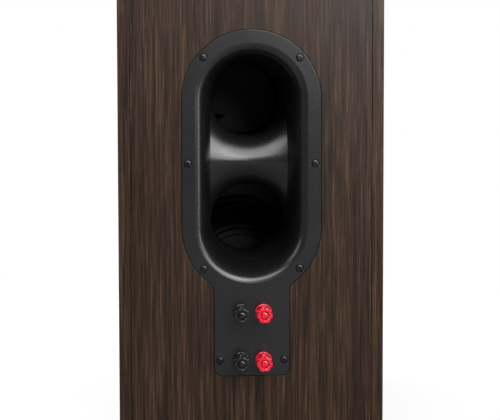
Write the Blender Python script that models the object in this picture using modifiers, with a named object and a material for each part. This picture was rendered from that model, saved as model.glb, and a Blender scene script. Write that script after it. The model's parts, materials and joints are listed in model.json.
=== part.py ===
"""Two-way bookshelf loudspeaker with a twin bass-reflex tray and four binding posts on its back.

Frame: +Z up, the drivers look along -Y, the binding posts stand out along +Y. The origin is the
middle of the footprint, on the surface that the rubber feet stand on. Lengths are in metres.
"""

import math

import bmesh
import bpy
from mathutils import Matrix, Vector

MM = 0.001
GAP = 0.3 * MM  # between two pieces that touch

# Cabinet
CABINET_WIDTH = 225 * MM
CABINET_HEIGHT = 387 * MM
CABINET_DEPTH = 285 * MM  # baffle face to rear face
WALL = 15 * MM  # sides, top, bottom and rear panel
BAFFLE_THICKNESS = 20 * MM
REAR_LIP = 10 * MM  # what the side panels show of their edge round the rear panel
MITRE_GAP = 0.5 * MM
FOOT_HEIGHT = 3 * MM
FOOT_RADIUS = 9 * MM
FOOT_INSET = 22 * MM
BRACE_THICKNESS = 12 * MM
BRACE_RIM = 22 * MM
BRACE_DEPTH = 100 * MM

# Port plate: a stadium flange round the port tray, with the terminal panel below it
PLATE_RADIUS = 59 * MM
PORT_PITCH = 108 * MM  # between the two port axes
PANEL_WIDTH = 64 * MM
PANEL_DROP = 68 * MM  # from the foot of the stadium to the foot of the terminal panel
PANEL_CORNER = 7 * MM
NECK_FILLET = 9 * MM
FLANGE = 3 * MM
PLATE_PROUD = 0.5 * MM
GASKET = 0.8 * MM
PLATE_ROUND_GAP = 0.4 * MM
TRAY_MOUTH_RADIUS = 48 * MM
TRAY_DEPTH = 65 * MM
TRAY_WALL = 3 * MM
PORT_RADIUS = 33 * MM
THROAT_STEP = 0.4 * MM  # the tray's walls stop this far outside the port bores
FLARE_REACH = 50 * MM  # semi-axes of the ellipse that rounds each port into the saddle
FLARE_HEIGHT = 25 * MM
SPIGOT = 11 * MM  # behind the tray's floor
TUBE_WALL = 2.5 * MM
TUBE_LENGTH = 72 * MM
TUBE_FLARE = 5 * MM
CUTOUT_MARGIN = 1.5 * MM
WINDOW_MARGIN = 7.5 * MM  # from the posts' axes to the edge of the terminals' cut-out
GASKET_INSET = 1.5 * MM

# Plate screws
SCREW_SHANK_RADIUS = 1.6 * MM
SCREW_HEAD_RADIUS = 2.9 * MM
SCREW_HEAD = 1.5 * MM
SCREW_LENGTH = 11.5 * MM
SCREW_SOCKET_RADIUS = 1.45 * MM
SCREW_SOCKET_DEPTH = 1.1 * MM
SCREW_SUNK = 0.2 * MM
SCREW_CIRCLE_RADIUS = 54 * MM
SCREW_ANGLE = math.radians(41)
PANEL_SCREW_EDGE = 4.7 * MM  # from the terminal panel's side
PANEL_SCREW_Z = 13 * MM  # above the foot of the plate

# Binding posts
POST_SPACING = 19 * MM
POST_ROW_PITCH = 41 * MM
POST_LOW_Z = 13.5 * MM  # above the foot of the plate
STUD_RADIUS = 3.0 * MM
STUD_BORE_RADIUS = 2.1 * MM
STUD_BORE_DEPTH = 13 * MM
STUD_PROUD = 18.5 * MM
STUD_TAIL_RADIUS = 2.0 * MM
STUD_NUT_RADIUS = 5 * MM  # to the corners of the hexagon behind the plate
STUD_NUT = 4 * MM
WIRE_HOLE_RADIUS = 1.1 * MM
RUNNING_GAP = 0.35 * MM
COLLAR_RADIUS = 7.2 * MM
BUSH_RADIUS = 4.5 * MM  # of the collar where it passes through the plate
COLLAR = 3 * MM
WASHER_RADIUS = 5.6 * MM
WASHER = 1 * MM
CAP_RADIUS = 6.65 * MM
CAP_LENGTH = 16.6 * MM
CAP_SKIRT = 4.5 * MM
FLUTE_RADIUS = 1.5 * MM
FLUTE_COUNT = 6
CAP_CHAMFER = 0.8 * MM
PLUG_HEAD = 2 * MM
PLUG_DOME = 0.6 * MM
PLUG_SHAFT_RADIUS = 1.75 * MM
PLUG_SHAFT = 9 * MM

# Crossover, on the tails of the posts
BOARD = 1.6 * MM
BOARD_MARGIN_X = 36 * MM  # from the posts' axes to the board's edges
BOARD_MARGIN_Z = 18 * MM
BOARD_BEHIND_WALL = 4 * MM
TAIL_PROUD = 3 * MM
CHOKE_RADIUS = 15 * MM
CHOKE_CORE_RADIUS = 8 * MM
CHOKE_LENGTH = 18 * MM
CHOKE_FLANGE = 2 * MM
LEAD_RADIUS = 1.8 * MM

# Woofer. Each "in" is a distance from the baffle's face into the cabinet.
WOOFER_FRAME_RADIUS = 82 * MM
WOOFER_FRAME = 3.5 * MM
WOOFER_REBATE = 6.5 * MM
BASKET_MOUTH_RADIUS = 70.5 * MM
TRIM_RADIUS = 88 * MM
TRIM_PROUD = 2.5 * MM
SURROUND_LIP = 1.0 * MM  # thickness of the rubber
SURROUND_RADIUS = 75 * MM
ROLL_OUTER_RADIUS = 69 * MM
ROLL_INNER_RADIUS = 58 * MM
ROLL_HEIGHT = 3.6 * MM
CONE_GLUE_WIDTH = 3 * MM
CONE_NECK_RADIUS = 17.5 * MM
CONE_DEPTH = 22 * MM
CONE_WALL = 1.2 * MM
DUST_CAP_RADIUS = 24 * MM
DUST_CAP_HEIGHT = 6.5 * MM
DUST_CAP_WALL = 1 * MM
COIL_WALL = 1.2 * MM
COIL_LENGTH = 34 * MM
BASKET_DEPTH = 45 * MM
BASKET_WALL = 3 * MM
CUP_RADIUS = 48 * MM
CUP_WALL = 8 * MM
CUP_HEIGHT = 8.5 * MM
BASKET_ARMS = 8
ARM_WIDTH = 12 * MM
SPIDER_THICKNESS = 0.8 * MM
SPIDER_WAVE = 1.0 * MM
SPIDER_WAVES = 2
TOP_PLATE = 6 * MM
TOP_PLATE_RADIUS = 42 * MM
COIL_CLEARANCE = 1.2 * MM
TAB_LENGTH = 8 * MM
TAB_WIDTH = 12 * MM
TAB = 5 * MM
MAGNET = 15 * MM
MAGNET_RADIUS = 45 * MM
MAGNET_BORE_RADIUS = 25 * MM
YOKE = 6 * MM
YOKE_RADIUS = 40 * MM

# Tweeter
GUIDE_RADIUS = 64 * MM
GUIDE_FLANGE = 3.5 * MM
GUIDE_PROUD = 1.5 * MM
GUIDE_MOUTH_RADIUS = 57 * MM
GUIDE_THROAT_RADIUS = 17 * MM
GUIDE_DEPTH = 20 * MM
GUIDE_WALL = 3 * MM
GUIDE_SEAT_RADIUS = 34 * MM
GUIDE_HOLE_RADIUS = 51 * MM
DOME_RADIUS = 12.5 * MM
DOME_HEIGHT = 5 * MM
DOME_EDGE_GAP = 0.4 * MM
DOME_WALL = 0.8 * MM
DOME_TRAVEL_GAP = 0.6 * MM
DOME_FORMER = 4 * MM
FORMER_CLEARANCE = 0.6 * MM
MOTOR_RADIUS = 36 * MM
MOTOR_LENGTH = 30 * MM

# Share of the baffle's spare height that lies below the woofer, and between the drivers
SHARE_BELOW_WOOFER = 0.27
SHARE_BETWEEN_DRIVERS = 0.30
# Share of the rear's spare height that lies below the port plate
SHARE_BELOW_PLATE = 0.56

# Facets of round pieces
FINE = 32
MEDIUM = 20
COARSE = 12
TINY = 8
EPS = 1 * MM  # a cutter runs this far past what it cuts

POST_PROUD = PLATE_PROUD + COLLAR + GAP + WASHER + GAP + CAP_LENGTH
FRONT_PROUD = max(TRIM_PROUD, GUIDE_PROUD)
FRONT_Y = (FRONT_PROUD - CABINET_DEPTH - POST_PROUD) / 2  # the baffle's face
REAR_Y = FRONT_Y + CABINET_DEPTH
FACE_Y = REAR_Y + PLATE_PROUD  # outer face of the port plate
TOP_Z = FOOT_HEIGHT + CABINET_HEIGHT
HALF_WIDTH = CABINET_WIDTH / 2
PLATE_HEIGHT = 2 * PLATE_RADIUS + PORT_PITCH + PANEL_DROP
PLATE_FOOT_Z = FOOT_HEIGHT + SHARE_BELOW_PLATE * (CABINET_HEIGHT - PLATE_HEIGHT)
LOW_PORT_Z = PLATE_FOOT_Z + PANEL_DROP + PLATE_RADIUS
HIGH_PORT_Z = LOW_PORT_Z + PORT_PITCH
MID_PORT_Z = (LOW_PORT_Z + HIGH_PORT_Z) / 2
SPARE = CABINET_HEIGHT - 2 * TRIM_RADIUS - 2 * GUIDE_RADIUS
WOOFER_Z = FOOT_HEIGHT + SHARE_BELOW_WOOFER * SPARE + TRIM_RADIUS
TWEETER_Z = WOOFER_Z + TRIM_RADIUS + SHARE_BETWEEN_DRIVERS * SPARE + GUIDE_RADIUS

BLACK_PLASTIC = ("black_plastic", (0.022, 0.023, 0.025), 0.45, 0.0)
WOOD = ("wood_veneer", (0.085, 0.045, 0.028), 0.5, 0.0)
BOARD_WOOD = ("fibreboard", (0.30, 0.20, 0.12), 0.8, 0.0)
RUBBER = ("rubber", (0.015, 0.015, 0.016), 0.7, 0.0)
FOAM = ("foam_gasket", (0.02, 0.02, 0.02), 0.95, 0.0)
STEEL = ("black_steel", (0.05, 0.05, 0.055), 0.35, 1.0)
BRASS = ("gilt_brass", (0.75, 0.55, 0.25), 0.25, 1.0)
RED_CLEAR = ("red_plastic", (0.65, 0.01, 0.03), 0.2, 0.0)
BLACK_CLEAR = ("black_clear_plastic", (0.012, 0.012, 0.013), 0.15, 0.0)
CONE_FIBRE = ("cone_fibre", (0.03, 0.03, 0.032), 0.6, 0.0)
CLOTH = ("spider_cloth", (0.55, 0.42, 0.2), 0.9, 0.0)
FERRITE = ("ferrite", (0.06, 0.06, 0.065), 0.6, 0.0)
ZINC = ("zinc_steel", (0.6, 0.6, 0.58), 0.35, 1.0)
COPPER = ("copper", (0.8, 0.4, 0.2), 0.35, 1.0)
SILK = ("dome_silk", (0.02, 0.02, 0.022), 0.55, 0.0)
LAMINATE = ("circuit_board", (0.02, 0.16, 0.07), 0.5, 0.0)
INSULATION = ("insulation", (0.5, 0.03, 0.03), 0.5, 0.0)


def clear_scene():
    for obj in list(bpy.data.objects):
        bpy.data.objects.remove(obj)


def new_collection(name, hidden):
    group = bpy.data.collections.new(name)
    group.hide_render = hidden
    bpy.context.scene.collection.children.link(group)
    return group


def material(finish):
    name, colour, roughness, metallic = finish
    found = bpy.data.materials.get(name)
    if found:
        return found
    made = bpy.data.materials.new(name)
    made.use_nodes = True
    shader = made.node_tree.nodes["Principled BSDF"]
    shader.inputs["Base Color"].default_value = (*colour, 1.0)
    shader.inputs["Roughness"].default_value = roughness
    shader.inputs["Metallic"].default_value = metallic
    made.diffuse_color = (*colour, 1.0)
    return made


def new_object(name, mesh, finish=None):
    """A part in its finish or, with no finish, a cutter."""
    obj = bpy.data.objects.new(name, mesh)
    if finish:
        bpy.data.collections["bookshelf_speaker"].objects.link(obj)
        if not mesh.materials:
            mesh.materials.append(material(finish))
    else:
        bpy.data.collections["cutters"].objects.link(obj)
        obj.hide_render = True
        obj.display_type = "WIRE"
    return obj


def from_bmesh(name, bm, finish=None, smooth=False):
    mesh = bpy.data.meshes.new(name)
    bm.to_mesh(mesh)
    bm.free()
    if smooth:
        mesh.shade_smooth()
        mesh.set_sharp_from_angle(angle=math.radians(35))
    return new_object(name, mesh, finish)


def block(name, low, high, finish=None):
    """A box between two opposite corners."""
    low, high = Vector(low), Vector(high)
    bm = bmesh.new()
    bmesh.ops.create_cube(bm, size=1)
    bmesh.ops.scale(bm, vec=high - low, verts=bm.verts)
    bmesh.ops.translate(bm, vec=(low + high) / 2, verts=bm.verts)
    return from_bmesh(name, bm, finish)


def rod(name, centre, radius, y_from, y_to, sides, finish=None, turn=0.0):
    """A round or many-sided bar along Y."""
    bm = bmesh.new()
    bmesh.ops.create_cone(
        bm, cap_ends=True, segments=sides, radius1=radius, radius2=radius, depth=y_to - y_from
    )
    bmesh.ops.rotate(bm, matrix=Matrix.Rotation(turn, 3, "Z"), verts=bm.verts)
    bmesh.ops.rotate(bm, matrix=Matrix.Rotation(math.radians(-90), 3, "X"), verts=bm.verts)
    bmesh.ops.translate(bm, vec=(centre[0], (y_from + y_to) / 2, centre[1]), verts=bm.verts)
    return from_bmesh(name, bm, finish, smooth=True)


def clear_of(radius, sides=FINE):
    """Corner radius of a many-sided hole that a round piece of this radius passes through."""
    return (radius + GAP) / math.cos(math.pi / sides)


def cut(obj, *others, operation="DIFFERENCE"):
    for other in others:
        step = obj.modifiers.new(f"{operation.lower()}_{other.name}", "BOOLEAN")
        step.operation = operation
        step.object = other


def clockwise(profile):
    """The profile, turned so that it runs down its outer side."""
    ring = [*profile, profile[0]]
    area = sum(a[0] * b[1] - b[0] * a[1] for a, b in zip(ring, ring[1:]))
    return list(profile) if area < 0 else list(reversed(profile))


def turned(name, profile, sides, finish=None, at=(0.0, 0.0, 0.0)):
    """A turned piece on an axis along +Y through at. The profile lists (radius, y) points.

    A profile that starts and ends on the axis stays open there, and any other is a closed ring.
    """
    on_axis = abs(profile[0][0]) < 1e-9 and abs(profile[-1][0]) < 1e-9
    points = clockwise(profile)
    bm = bmesh.new()
    verts = [bm.verts.new((radius, 0.0, height)) for radius, height in points]
    for a, b in zip(verts, verts[1:]):
        bm.edges.new((a, b))
    if not on_axis:
        bm.edges.new((verts[-1], verts[0]))
    obj = from_bmesh(name, bm, finish)
    screw = obj.modifiers.new("turn", "SCREW")
    screw.axis = "Z"
    screw.steps = sides
    screw.render_steps = sides
    screw.use_merge_vertices = True
    screw.merge_threshold = 1e-6
    screw.use_smooth_shade = True
    obj.location = at
    obj.rotation_euler = (math.radians(-90), 0.0, 0.0)
    return obj


def ring(inner, outer, y_from, y_to):
    return [(inner, y_from), (outer, y_from), (outer, y_to), (inner, y_to)]


def arc(centre, radius, start, end, steps):
    """Points along an arc, from one angle to another, in degrees."""
    for step in range(steps + 1):
        angle = math.radians(start + (end - start) * step / steps)
        yield (centre[0] + radius * math.cos(angle), centre[1] + radius * math.sin(angle))


def flat(name, outline, y_from, y_to, finish=None):
    """An outline of (x, z) points as a plate between two planes across Y."""
    curve = bpy.data.curves.new(name, "CURVE")
    curve.dimensions = "2D"
    curve.fill_mode = "BOTH"
    curve.extrude = (y_to - y_from) / 2
    spline = curve.splines.new("POLY")
    spline.points.add(len(outline) - 1)
    for point, (x, z) in zip(spline.points, outline):
        point.co = (x, z, 0.0, 1.0)
    spline.use_cyclic_u = True
    guide = bpy.data.objects.new(name + "_outline", curve)
    guide.location = (0.0, (y_from + y_to) / 2, 0.0)
    guide.rotation_euler = (math.radians(90), 0.0, 0.0)
    bpy.data.collections["cutters"].objects.link(guide)
    bpy.context.view_layer.update()
    mesh = bpy.data.meshes.new_from_object(guide.evaluated_get(bpy.context.evaluated_depsgraph_get()))
    bm = bmesh.new()
    bm.from_mesh(mesh)
    bmesh.ops.remove_doubles(bm, verts=bm.verts, dist=1e-6)
    bmesh.ops.recalc_face_normals(bm, faces=bm.faces)
    bm.to_mesh(mesh)
    bm.free()
    obj = new_object(name, mesh, finish)
    obj.matrix_world = guide.matrix_world
    bpy.data.objects.remove(guide)
    return obj


def stadium_sweep(name, profile, finish=None, capped=False):
    """A profile of (radius, y) points carried round a stadium whose end centres are the port axes.

    A capped sweep is a solid plug. Without caps the profile is a closed ring and makes a wall.
    """
    bm = bmesh.new()
    verts = [bm.verts.new((radius, y, HIGH_PORT_Z)) for radius, y in profile]
    edges = [bm.edges.new(pair) for pair in zip(verts, verts[1:])]
    if not capped:
        edges.append(bm.edges.new((verts[-1], verts[0])))
    geometry = edges
    for centre_z, shift in ((HIGH_PORT_Z, -PORT_PITCH), (LOW_PORT_Z, PORT_PITCH)):
        spun = bmesh.ops.spin(
            bm,
            geom=geometry,
            cent=(0.0, 0.0, centre_z),
            axis=(0.0, -1.0, 0.0),
            angle=math.pi,
            steps=FINE // 2,
        )
        geometry = [item for item in spun["geom_last"] if isinstance(item, bmesh.types.BMEdge)]
        grown = bmesh.ops.extrude_edge_only(bm, edges=geometry)["geom"]
        moved = [item for item in grown if isinstance(item, bmesh.types.BMVert)]
        bmesh.ops.translate(bm, vec=(0.0, 0.0, shift), verts=moved)
        geometry = [item for item in grown if isinstance(item, bmesh.types.BMEdge)]
        geometry = [item for item in geometry if all(vert in moved for vert in item.verts)]
    bmesh.ops.remove_doubles(bm, verts=bm.verts, dist=1e-6)
    if capped:
        bmesh.ops.holes_fill(bm, edges=bm.edges, sides=0)
    bmesh.ops.recalc_face_normals(bm, faces=bm.faces)
    return from_bmesh(name, bm, finish)


def tube_through(name, points, radius, finish):
    """A lead along one smooth curve through the points."""
    curve = bpy.data.curves.new(name, "CURVE")
    curve.dimensions = "3D"
    curve.bevel_depth = radius
    curve.bevel_resolution = 2
    curve.use_fill_caps = True
    smooth = smooth_path([Vector(point) for point in points], 6 * radius)
    spline = curve.splines.new("POLY")
    spline.points.add(len(smooth) - 1)
    for target, point in zip(spline.points, smooth):
        target.co = (*point, 1.0)
    curve.materials.append(material(finish))
    obj = bpy.data.objects.new(name, curve)
    bpy.data.collections["bookshelf_speaker"].objects.link(obj)
    return obj


def smooth_path(points, spacing):
    """Evenly spaced points on the Catmull-Rom curve through the points."""
    padded = [2 * points[0] - points[1], *points, 2 * points[-1] - points[-2]]
    fine = []
    for a, b, c, d in zip(padded, padded[1:], padded[2:], padded[3:]):
        for step in range(20):
            t = step / 20
            fine.append(
                0.5 * (2 * b + (c - a) * t + (2 * a - 5 * b + 4 * c - d) * t**2
                       + (3 * b - a - 3 * c + d) * t**3)
            )
    fine.append(points[-1])
    runs = [(b - a).length for a, b in zip(fine, fine[1:])]
    count = max(2, round(sum(runs) / spacing))
    chosen, travelled, index = [fine[0]], 0.0, 0
    for number in range(1, count):
        wanted = sum(runs) * number / count
        while travelled + runs[index] < wanted:
            travelled += runs[index]
            index += 1
        chosen.append(fine[index].lerp(fine[index + 1], (wanted - travelled) / runs[index]))
    return [*chosen, fine[-1]]


# Cabinet


def make_cabinet():
    half = MITRE_GAP / 2
    inner, low, high = HALF_WIDTH - WALL, FOOT_HEIGHT, TOP_Z
    shell_y = FRONT_Y + BAFFLE_THICKNESS + GAP
    rabbet_y = REAR_Y - WALL - GAP
    lip_x, lip_low, lip_high = HALF_WIDTH - REAR_LIP, low + REAR_LIP, high - REAR_LIP
    rabbet = block("rabbet", (-lip_x, rabbet_y, lip_low), (lip_x, REAR_Y + EPS, lip_high))
    for side, name in ((-1, "side_panel_left"), (1, "side_panel_right")):
        outline = [
            (side * HALF_WIDTH, low + half),
            (side * inner, low + WALL + half),
            (side * inner, high - WALL - half),
            (side * HALF_WIDTH, high - half),
        ]
        cut(flat(name, outline, shell_y, REAR_Y, WOOD), rabbet)
    for name, edge, inward in (("top_panel", high, -WALL), ("bottom_panel", low, WALL)):
        outline = [
            (-HALF_WIDTH + half, edge),
            (-inner + half, edge + inward),
            (inner - half, edge + inward),
            (HALF_WIDTH - half, edge),
        ]
        cut(flat(name, outline, shell_y, REAR_Y, WOOD), rabbet)
    make_baffle()
    make_rear_panel(lip_x - GAP, lip_low + GAP, lip_high - GAP)
    make_brace(inner - GAP, shell_y + GAP)
    foot_x, foot_y = HALF_WIDTH - FOOT_INSET, (shell_y + FOOT_INSET, REAR_Y - FOOT_INSET)
    for end, y in zip(("front", "rear"), foot_y):
        for side, x in (("left", -foot_x), ("right", foot_x)):
            bm = bmesh.new()
            bmesh.ops.create_cone(
                bm, cap_ends=True, segments=COARSE,
                radius1=FOOT_RADIUS, radius2=FOOT_RADIUS, depth=FOOT_HEIGHT - GAP,
            )
            bmesh.ops.translate(bm, vec=(x, y, (FOOT_HEIGHT - GAP) / 2), verts=bm.verts)
            from_bmesh(f"foot_{end}_{side}", bm, RUBBER)


def make_baffle():
    baffle = block(
        "front_baffle",
        (-HALF_WIDTH, FRONT_Y, FOOT_HEIGHT),
        (HALF_WIDTH, FRONT_Y + BAFFLE_THICKNESS, TOP_Z),
        BLACK_PLASTIC,
    )
    back = BAFFLE_THICKNESS + EPS
    woofer_hole = clear_of(BASKET_MOUTH_RADIUS + BASKET_WALL)
    steps = (
        ("woofer_rebate", clear_of(WOOFER_FRAME_RADIUS), WOOFER_REBATE, WOOFER_Z),
        ("woofer_hole", woofer_hole, back, WOOFER_Z),
        ("tweeter_rebate", clear_of(GUIDE_RADIUS), GUIDE_FLANGE - GUIDE_PROUD + GAP, TWEETER_Z),
        ("tweeter_hole", GUIDE_HOLE_RADIUS, back, TWEETER_Z),
    )
    for name, radius, depth, z in steps:
        cut(baffle, rod(name, (0.0, z), radius, FRONT_Y - EPS, FRONT_Y + depth, FINE))


def make_rear_panel(half_width, low, high):
    panel = block(
        "rear_panel", (-half_width, REAR_Y - WALL, low), (half_width, REAR_Y, high), WOOD
    )
    floor = rebate_floor()
    rebate = flat("plate_rebate", plate_outline(PLATE_ROUND_GAP), floor, REAR_Y + EPS)
    behind = REAR_Y - WALL - EPS
    tray_hole = flat("tray_hole", stadium(cutout_radius()), behind, REAR_Y)
    holes = rods("screw_pilots", screw_places(), shank_hole(), screw_tip() - GAP, REAR_Y)
    cut(panel, rebate, tray_hole, terminal_window("terminal_hole", 0.0, behind, REAR_Y), holes)


def make_brace(half_width, front):
    low, high = MID_PORT_Z - BRACE_THICKNESS / 2, MID_PORT_Z + BRACE_THICKNESS / 2
    back = front + BRACE_DEPTH
    brace = block("shelf_brace", (-half_width, front, low), (half_width, back, high), BOARD_WOOD)
    window = block(
        "brace_window",
        (-half_width + BRACE_RIM, front + BRACE_RIM, low - EPS),
        (half_width - BRACE_RIM, back - BRACE_RIM, high + EPS),
    )
    cut(brace, window)


# Port plate


def rebate_floor():
    """Y of the rear panel's face behind the gasket."""
    return FACE_Y - FLANGE - GAP - GASKET - GAP


def shank_hole():
    return clear_of(SCREW_SHANK_RADIUS, TINY)


def screw_tip():
    return FACE_Y - SCREW_SUNK - SCREW_HEAD - SCREW_LENGTH


def post_places():
    """(name, x, z) of the four posts. The positive ones are on the -X side."""
    for row, name in enumerate(("low", "high")):
        z = PLATE_FOOT_Z + POST_LOW_Z + row * POST_ROW_PITCH
        yield f"{name}_positive", -POST_SPACING / 2, z
        yield f"{name}_negative", POST_SPACING / 2, z


def screw_places():
    """(x, z) of the plate's screws, from the top down, -X side first."""
    dx = SCREW_CIRCLE_RADIUS * math.cos(SCREW_ANGLE)
    dz = SCREW_CIRCLE_RADIUS * math.sin(SCREW_ANGLE)
    rows = (
        (dx, HIGH_PORT_Z + dz),
        (SCREW_CIRCLE_RADIUS, MID_PORT_Z),
        (dx, LOW_PORT_Z - dz),
        (PANEL_WIDTH / 2 - PANEL_SCREW_EDGE, PLATE_FOOT_Z + PANEL_SCREW_Z),
    )
    return [(side * x, z) for x, z in rows for side in (-1, 1)]


def stadium(radius):
    return [
        *arc((0.0, HIGH_PORT_Z), radius, 0, 180, FINE // 2),
        *arc((0.0, LOW_PORT_Z), radius, 180, 360, FINE // 2),
    ]


def plate_outline(extra):
    """The plate's outline, grown by extra all round."""
    radius, half, corner = PLATE_RADIUS + extra, PANEL_WIDTH / 2 + extra, PANEL_CORNER + extra
    fillet, foot = NECK_FILLET - extra, PLATE_FOOT_Z - extra
    drop = math.sqrt((radius + fillet) ** 2 - (half + fillet) ** 2)
    neck = math.degrees(math.atan2(drop, half + fillet))
    right = [
        *arc((half - corner, foot + corner), corner, -90, 0, 3),
        *arc((half + fillet, LOW_PORT_Z - drop), fillet, 180, 180 - neck, 3),
        *arc((0.0, LOW_PORT_Z), radius, -neck, 0, FINE // 8),
        *arc((0.0, HIGH_PORT_Z), radius, 0, 90, FINE // 4),
    ]
    left = [(-x, z) for x, z in reversed(right[:-1])]
    outline = right + left
    # The fillet ends where the arc starts, so one of the two points goes.
    return [a for a, b in zip(outline, outline[1:] + outline[:1]) if math.dist(a, b) > 1e-6]


def tray_profile(outside, low_angle=0.0, steps=5):
    """(radius, y) down the tray's elliptical wall, from the mouth to the floor."""
    throat = PORT_RADIUS + THROAT_STEP
    reach = TRAY_MOUTH_RADIUS - throat
    for step in range(steps + 1):
        angle = low_angle + (math.pi / 2 - low_angle) * step / steps
        radius = throat + reach * (1 - math.sin(angle)) + outside
        yield (radius, FACE_Y - TRAY_DEPTH * (1 - math.cos(angle)))


def cutout_radius():
    """Radius of the hole behind the flange that the tray drops into."""
    angle = math.acos(1 - FLANGE / TRAY_DEPTH)
    return next(tray_profile(TRAY_WALL, angle))[0] + CUTOUT_MARGIN


def flare_profile(steps=5):
    """(radius, height above the tray's floor) of the ellipse that rounds a port."""
    for step in range(steps + 1):
        angle = math.pi / 2 * step / steps
        yield (
            PORT_RADIUS + FLARE_REACH * (1 - math.cos(angle)),
            FLARE_HEIGHT * math.sin(angle),
        )


def saddle_height(radius):
    """Height of a port's flare above the tray's floor, this far from the port's axis."""
    return FLARE_HEIGHT * math.sqrt(1 - (1 - (radius - PORT_RADIUS) / FLARE_REACH) ** 2)


def terminal_window(name, extra, y_from, y_to):
    half = POST_SPACING / 2 + WINDOW_MARGIN + extra
    low = PLATE_FOOT_Z + POST_LOW_Z - WINDOW_MARGIN - extra
    high = PLATE_FOOT_Z + POST_LOW_Z + POST_ROW_PITCH + WINDOW_MARGIN + extra
    return block(name, (-half, y_from, low), (half, y_to, high))


def rods(name, places, radius, y_from, y_to, sides=TINY):
    """One cutter of several round bars along Y."""
    bm = bmesh.new()
    for x, z in places:
        made = bmesh.ops.create_cone(
            bm, cap_ends=True, segments=sides, radius1=radius, radius2=radius, depth=y_to - y_from
        )["verts"]
        bmesh.ops.rotate(bm, matrix=Matrix.Rotation(math.radians(-90), 3, "X"), verts=made)
        bmesh.ops.translate(bm, vec=(x, (y_from + y_to) / 2, z), verts=made)
    return from_bmesh(name, bm)


def tray_cavity():
    """The air in the tray and its two ports, down past the spigots."""
    floor_y = FACE_Y - TRAY_DEPTH
    deep_y = floor_y - TRAY_WALL - SPIGOT - EPS
    walls = list(tray_profile(0.0))
    funnel = [(TRAY_MOUTH_RADIUS, FACE_Y + EPS), *walls, (walls[-1][0], deep_y)]
    cavity = stadium_sweep("tray_cavity", funnel, capped=True)
    flare = [(radius, floor_y + height) for radius, height in flare_profile()]
    widest = flare[-1][0]
    profile = [(0.0, deep_y - EPS), (PORT_RADIUS, deep_y - EPS), *flare]
    profile += [(widest, FACE_Y + 2 * EPS), (0.0, FACE_Y + 2 * EPS)]
    upper = turned("upper_flare", profile, FINE, at=(0.0, 0.0, HIGH_PORT_Z))
    lower = turned("lower_flare", profile, FINE, at=(0.0, 0.0, LOW_PORT_Z))
    cut(upper, lower, operation="UNION")
    cut(cavity, upper, operation="INTERSECT")
    return cavity


def make_port_plate():
    plate = flat("port_plate", plate_outline(0.0), FACE_Y - FLANGE, FACE_Y, BLACK_PLASTIC)
    back_y = FACE_Y - TRAY_DEPTH - TRAY_WALL
    start = math.acos(1 - FLANGE / 2 / TRAY_DEPTH)
    walls = list(tray_profile(TRAY_WALL, start))
    block_profile = [*walls, (walls[-1][0], back_y)]
    tray = stadium_sweep("tray_block", block_profile, capped=True)
    spigots = rods(
        "spigots",
        [(0.0, HIGH_PORT_Z), (0.0, LOW_PORT_Z)],
        PORT_RADIUS + TRAY_WALL,
        back_y - SPIGOT,
        back_y + TRAY_WALL / 2,
        FINE,
    )
    saddle_half = PORT_PITCH / 2 - PORT_RADIUS
    relief_half = (saddle_half - TRAY_WALL) / 2
    relief_top = saddle_height(PORT_PITCH / 2 - relief_half) - 1.5 * TRAY_WALL
    relief = block(
        "saddle_relief",
        (-PORT_RADIUS + 3 * TRAY_WALL, back_y - EPS, MID_PORT_Z - relief_half),
        (PORT_RADIUS - 3 * TRAY_WALL, FACE_Y - TRAY_DEPTH + relief_top, MID_PORT_Z + relief_half),
    )
    posts = [(x, z) for _, x, z in post_places()]
    through = (FACE_Y - FLANGE - EPS, FACE_Y + EPS)
    post_holes = rods("post_holes", posts, clear_of(BUSH_RADIUS, TINY), *through)
    screw_holes = rods("screw_holes", screw_places(), shank_hole(), *through)
    seat_y = FACE_Y - SCREW_SUNK - SCREW_HEAD - GAP
    seat = clear_of(SCREW_HEAD_RADIUS, TINY)
    seats = rods("screw_seats", screw_places(), seat, seat_y, FACE_Y + EPS)
    cut(plate, tray, spigots, operation="UNION")
    cut(plate, tray_cavity(), relief, post_holes, screw_holes, seats)


def make_gasket():
    y_from = rebate_floor() + GAP
    y_to = y_from + GASKET
    gasket = flat("plate_gasket", plate_outline(-GASKET_INSET), y_from, y_to, FOAM)
    tray_hole = flat("gasket_tray_hole", stadium(cutout_radius()), y_from - EPS, y_to + EPS)
    window = terminal_window("gasket_window", EPS, y_from - EPS, y_to + EPS)
    reach = (y_from - EPS, y_to + EPS)
    holes = rods("gasket_holes", screw_places(), shank_hole(), *reach)
    cut(gasket, tray_hole, window, holes)


def make_port_tubes():
    """Each tube is a sleeve over its spigot, then carries the bore on, and flares at its end."""
    front_y = FACE_Y - TRAY_DEPTH - TRAY_WALL - GAP
    shoulder_y = front_y + GAP - SPIGOT - GAP
    end_y = front_y - TUBE_LENGTH
    sleeve = PORT_RADIUS + TRAY_WALL + GAP
    outer = sleeve + TUBE_WALL
    profile = [
        (sleeve, front_y),
        (outer, front_y),
        (outer, end_y + 2 * TUBE_FLARE),
        (outer + TUBE_FLARE, end_y),
        (PORT_RADIUS + TUBE_FLARE + TUBE_WALL, end_y),
        (PORT_RADIUS, end_y + 2 * TUBE_FLARE),
        (PORT_RADIUS, shoulder_y),
        (sleeve, shoulder_y),
    ]
    for name, z in (("upper", HIGH_PORT_Z), ("lower", LOW_PORT_Z)):
        turned(f"port_tube_{name}", profile, FINE, BLACK_PLASTIC, at=(0.0, 0.0, z))


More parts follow.
